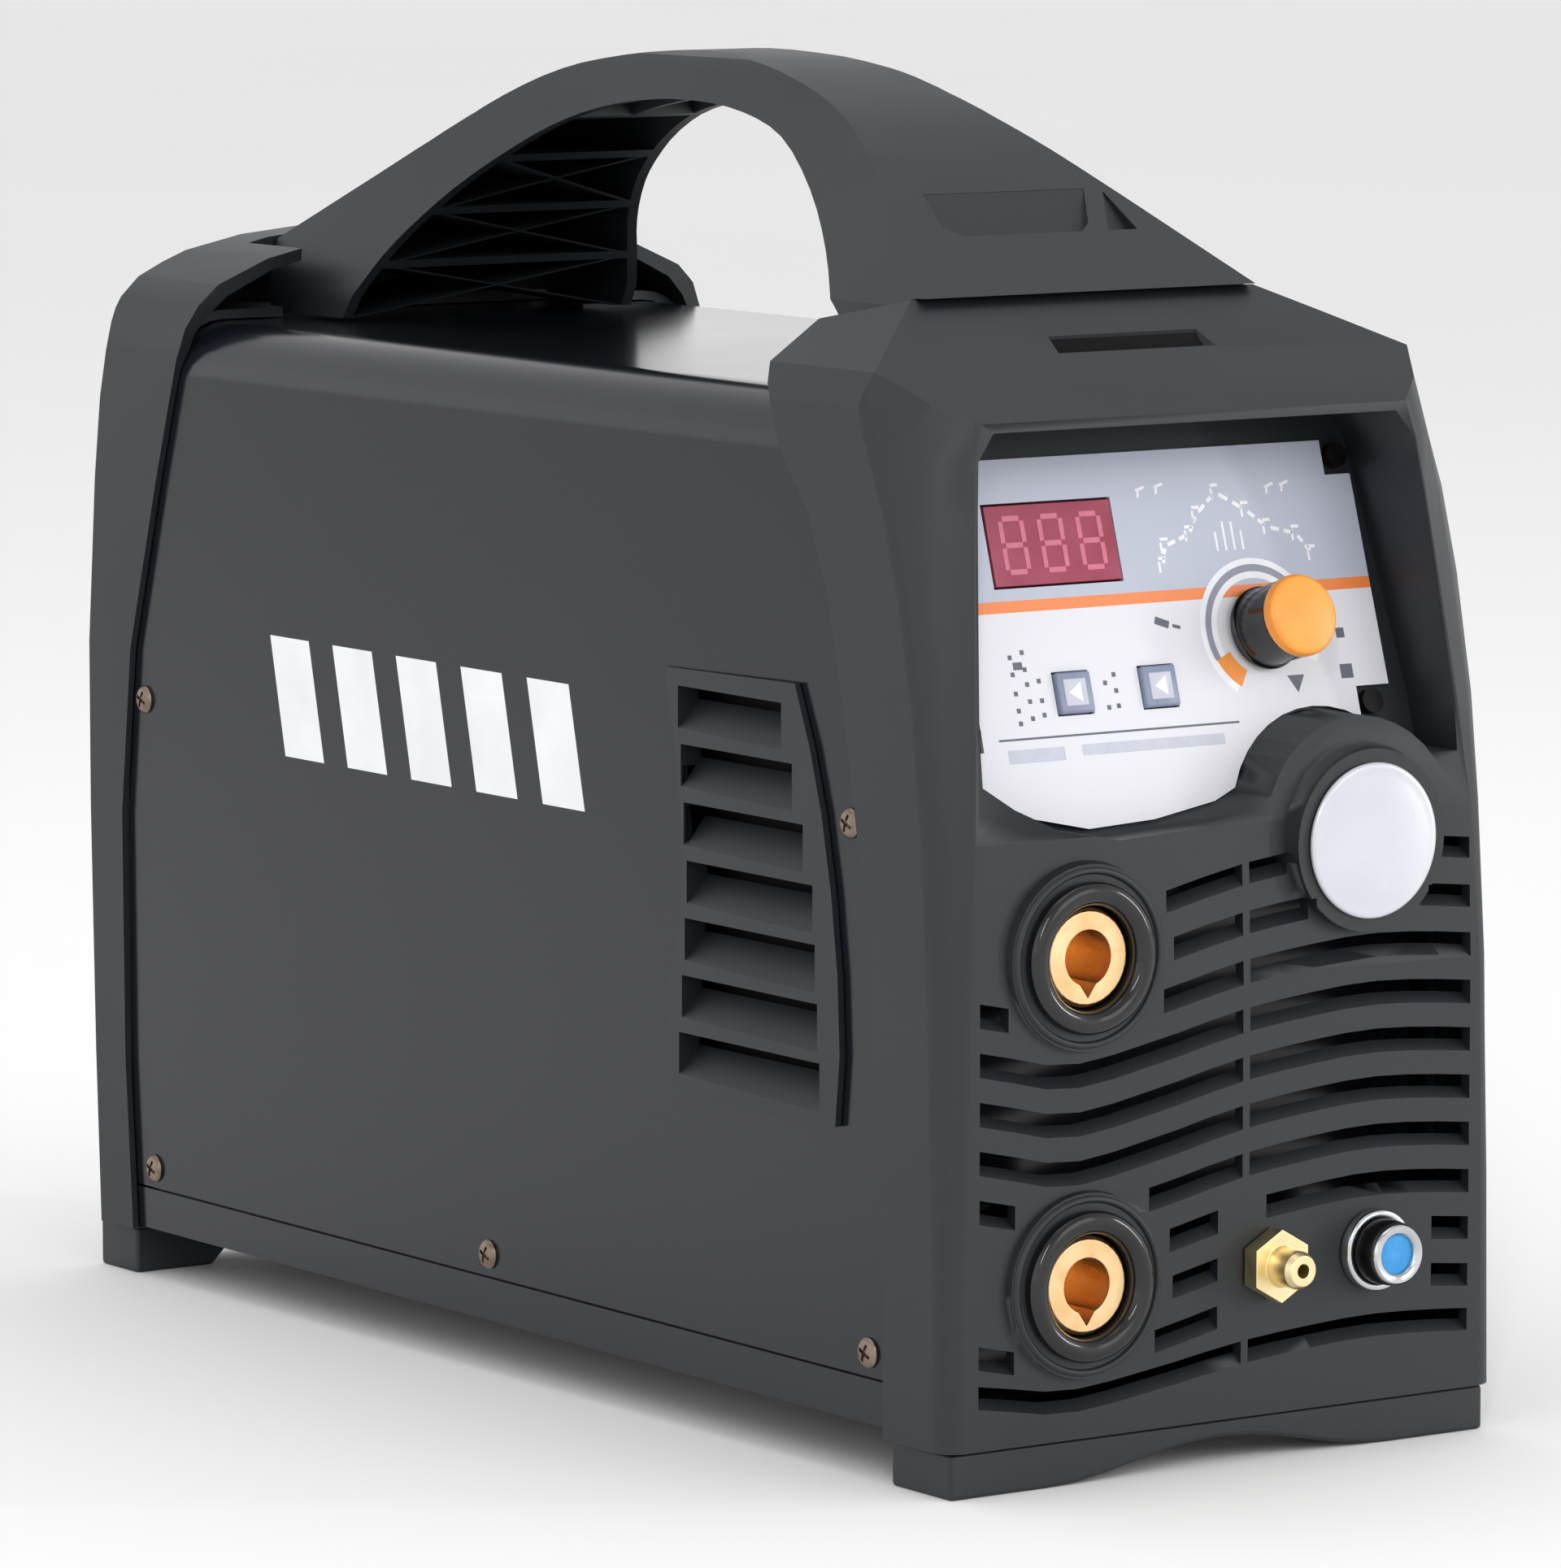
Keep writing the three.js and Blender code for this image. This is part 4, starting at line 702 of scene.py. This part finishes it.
for x, z in ((0, 51.5), (5.4, 52), (37.5, 50.5), (42, 50.8)):
    whiteMarks.append(stroke((x - 1.3, z), (x + 1.3, z + 0.8), 0.7, inkY))
    whiteMarks.append(stroke((x - 1.0, z - 1.6), (x - 0.6, z), 0.6, inkY))
printOn(whiteMarks, "label_waveform", whiteInk)

# Arcs round the knob: inner and outer radius, first and last angle, how far they stand off, ink.
dialArcs = {
    "dial_ring": (12.4, 17.2, -30, 236, 0, whiteInk),
    "dial_scale": (14.0, 15.7, 10, 205, 0.03, greyInk),
    "dial_start": (11.0, 15.4, 205, 238, 0.06, orangeInk),
}
for name, (inner, outer, start, end, standOff, ink) in dialArcs.items():
    arc = printedArc(name, knobGrip["centre"], inner, outer, start, end, inkY - standOff)
    printOn([arc], name, ink, thickness=0)

# Dark marks: a rule, square dots in columns (x, then each height), and short bars (start, end, width).
darkMarks = [stroke((-52, -4.6), (17, -4.6), 0.5, inkY)]
dotWidth = 1.1
dotColumns = {-45: (14.5, 10.5, 6, 2, -1), -41.4: (15.5, 11.5, 8, 4, 0), -38: (8.6, 4, 0.6),
              -16.6: (8.8, 5, 1.4), -19.4: (7, 1.2)}
for x, heights in dotColumns.items():
    for z in heights:
        darkMarks.append(stroke((x - dotWidth / 2, z), (x + dotWidth / 2, z), dotWidth, inkY))
shortBars = [((-44.5, 12.4), (-41.9, 12.4), 1.8), ((-2.2, 20.8), (1.6, 19.4), 1.8),
             ((2.6, 19.2), (4.8, 18.6), 0.8), ((49.0, 5.4), (52.6, 5.4), 3.4),
             ((49.6, 14.6), (52.0, 14.6), 2.4)]
for start, end, width in shortBars:
    darkMarks.append(stroke(start, end, width, inkY))
printOn(darkMarks, "label_marks", darkInk)
pointerOutline = [(33.2, 5.4), (38.2, 5.4), (35.7, 1.2)]
printOn([plate("pointer", pointerOutline, inkY, inkThickness)], "label_pointer", darkInk, thickness=0)
paleMarks = [stroke((-50, -8.6), (-34, -8.6), 3.2, inkY), stroke((-29, -8.2), (12, -8.2), 2.6, inkY)]
printOn(paleMarks, "label_footer", paleInk)

# Push buttons: a grey frame, a pale field and a white pointer to the left.
pushButtons = {
    "left": -29.0, "right": -4.5, "z": 5.2, "y": -2.8, "edge": 0.5,
    "field": [(-3.1, -3.1), (3.1, -3.1), (3.1, 3.1), (-3.1, 3.1)],
    "pointer": [(-1.9, 0), (1.6, -2.4), (1.6, 2.4)],
}
for side in ("left", "right"):
    body = side + "_button"
    cap = easedCopy("button_" + side, "button_frame_" + side, pushButtons["edge"])
    finishPiece(cap, frameBlue, body, ["button_" + side])
    for layer, (part, ink) in enumerate((("field", paleInk), ("pointer", whiteInk)), start=1):
        outline = [(pushButtons[side] + x, pushButtons["z"] + z) for x, z in pushButtons[part]]
        depth = pushButtons["y"] - layer * inkThickness
        mark = plate("button_" + part + "_" + side, outline, depth, inkThickness)
        finishPiece(settle(mark, panelFrame), ink, body, smooth=0)
print("control panel printed")

# Cover screws: a domed head with a cross recess, modelled once.
coverScrew = {
    "wall": 78, "crown": -1.7, "cross": 4.4, "slot": 0.9, "depth": 0.8, "twist": 0.4,
    "dome": [(0, 5.0), (1.6, 5.0), (1.6, 0), (3.5, 0), (3.6, -0.5), (3.3, -0.95), (2.6, -1.35),
             (1.5, -1.62), (0, -1.7)],
}
screwHead = turn("screw_master", coverScrew["dome"], steps=32)
for across in (0, 1):
    clearSelection()
    bpy.ops.mesh.primitive_cube_add(size=1)
    cutter = bpy.context.object
    wide, tall = (coverScrew["cross"], coverScrew["slot"])[::1 - 2 * across]
    cutterSize = Matrix.Diagonal((wide * mm, 2 * coverScrew["depth"] * mm, tall * mm, 1))
    settle(cutter, Matrix.Translation((0, coverScrew["crown"] * mm, 0)) @ cutterSize)
    withModifier(screwHead, "BOOLEAN", operation="DIFFERENCE", object=cutter, solver="EXACT")
    bpy.data.objects.remove(cutter)
screwNodes = [name for name in nodes if name.startswith("cover_screw")]
for name in screwNodes:
    low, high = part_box(name)
    outwards = -1 if low.x < 0 else 1
    head = screwHead.copy()
    head.data = screwHead.data.copy()
    bpy.context.scene.collection.objects.link(head)
    turnOut = (Matrix.Rotation(outwards * math.pi / 2, 4, "Z")
               @ Matrix.Rotation(coverScrew["twist"], 4, "Y"))
    middle = (outwards * coverScrew["wall"] * mm, (low.y + high.y) / 2, (low.z + high.z) / 2)
    settle(head, Matrix.Translation(middle) @ turnOut)
    head.name = name.replace("cover_screw", "screw_head")
    finishPiece(head, zincScrew, bodyOf[name], [name], smooth=40)
bpy.data.objects.remove(screwHead)
print("screws placed:", len(screwNodes))

# A plain slanted bar motif in white film on the left side.
sideMotif = {"x": -78.05, "rear": 300, "front": 152, "low": 143, "high": 173, "bars": 5, "lean": 7,
             "filled": 0.62, "film": 0.05}
motif = []
pitch = (sideMotif["rear"] - sideMotif["front"]) / sideMotif["bars"]
barWidth = pitch * sideMotif["filled"]
low, high, lean = sideMotif["low"], sideMotif["high"], sideMotif["lean"]
for bar in range(sideMotif["bars"]):
    start = sideMotif["front"] + bar * pitch
    end = start + barWidth
    outline = [(start, low), (end, low), (end + lean, high), (start + lean, high)]
    motif.append(plate("bar", outline, 0, sideMotif["film"]))
stripes = joinUp(motif, "side_motif")
sideways = Matrix(((0, 1, 0, sideMotif["x"] * mm), (1, 0, 0, grilleY), (0, 0, 1, 0), (0, 0, 0, 1)))
settle(stripes, sideways)
takeUp(stripes)
bpy.ops.object.mode_set(mode="EDIT")
bpy.ops.mesh.select_all(action="SELECT")
bpy.ops.mesh.normals_make_consistent(inside=False)
bpy.ops.object.mode_set(mode="OBJECT")
finishPiece(stripes, whiteVinyl, "machine", smooth=0)
print("side motif placed")

# Finishes on the parts that stay as they are.
finishes = {
    powderCoat: ["socket_plate"],
    turnedBrass: ["solenoid_valve"],
    nickelPlate: ["encoder"],
    printedFilm: ["control_label"],
    boardLaminate: ["control_board", "power_board"],
    extrudedAluminium: ["heatsink_upper", "heatsink_lower"],
    enamelledCopper: ["arc_start_coil", "busbar_upper", "busbar_lower"],
    ferrite: ["main_transformer"],
    canSleeve: ["capacitor_left", "capacitor_right"],
    hoseRubber: ["gas_hose_rear", "gas_hose_front"],
    bluedSteel: [name for name in nodes if name.startswith("panel_screw")],
}
for finish, names in finishes.items():
    for name in names:
        nodes[name].data.materials.clear()
        nodes[name].data.materials.append(finish)
print("finishes set")
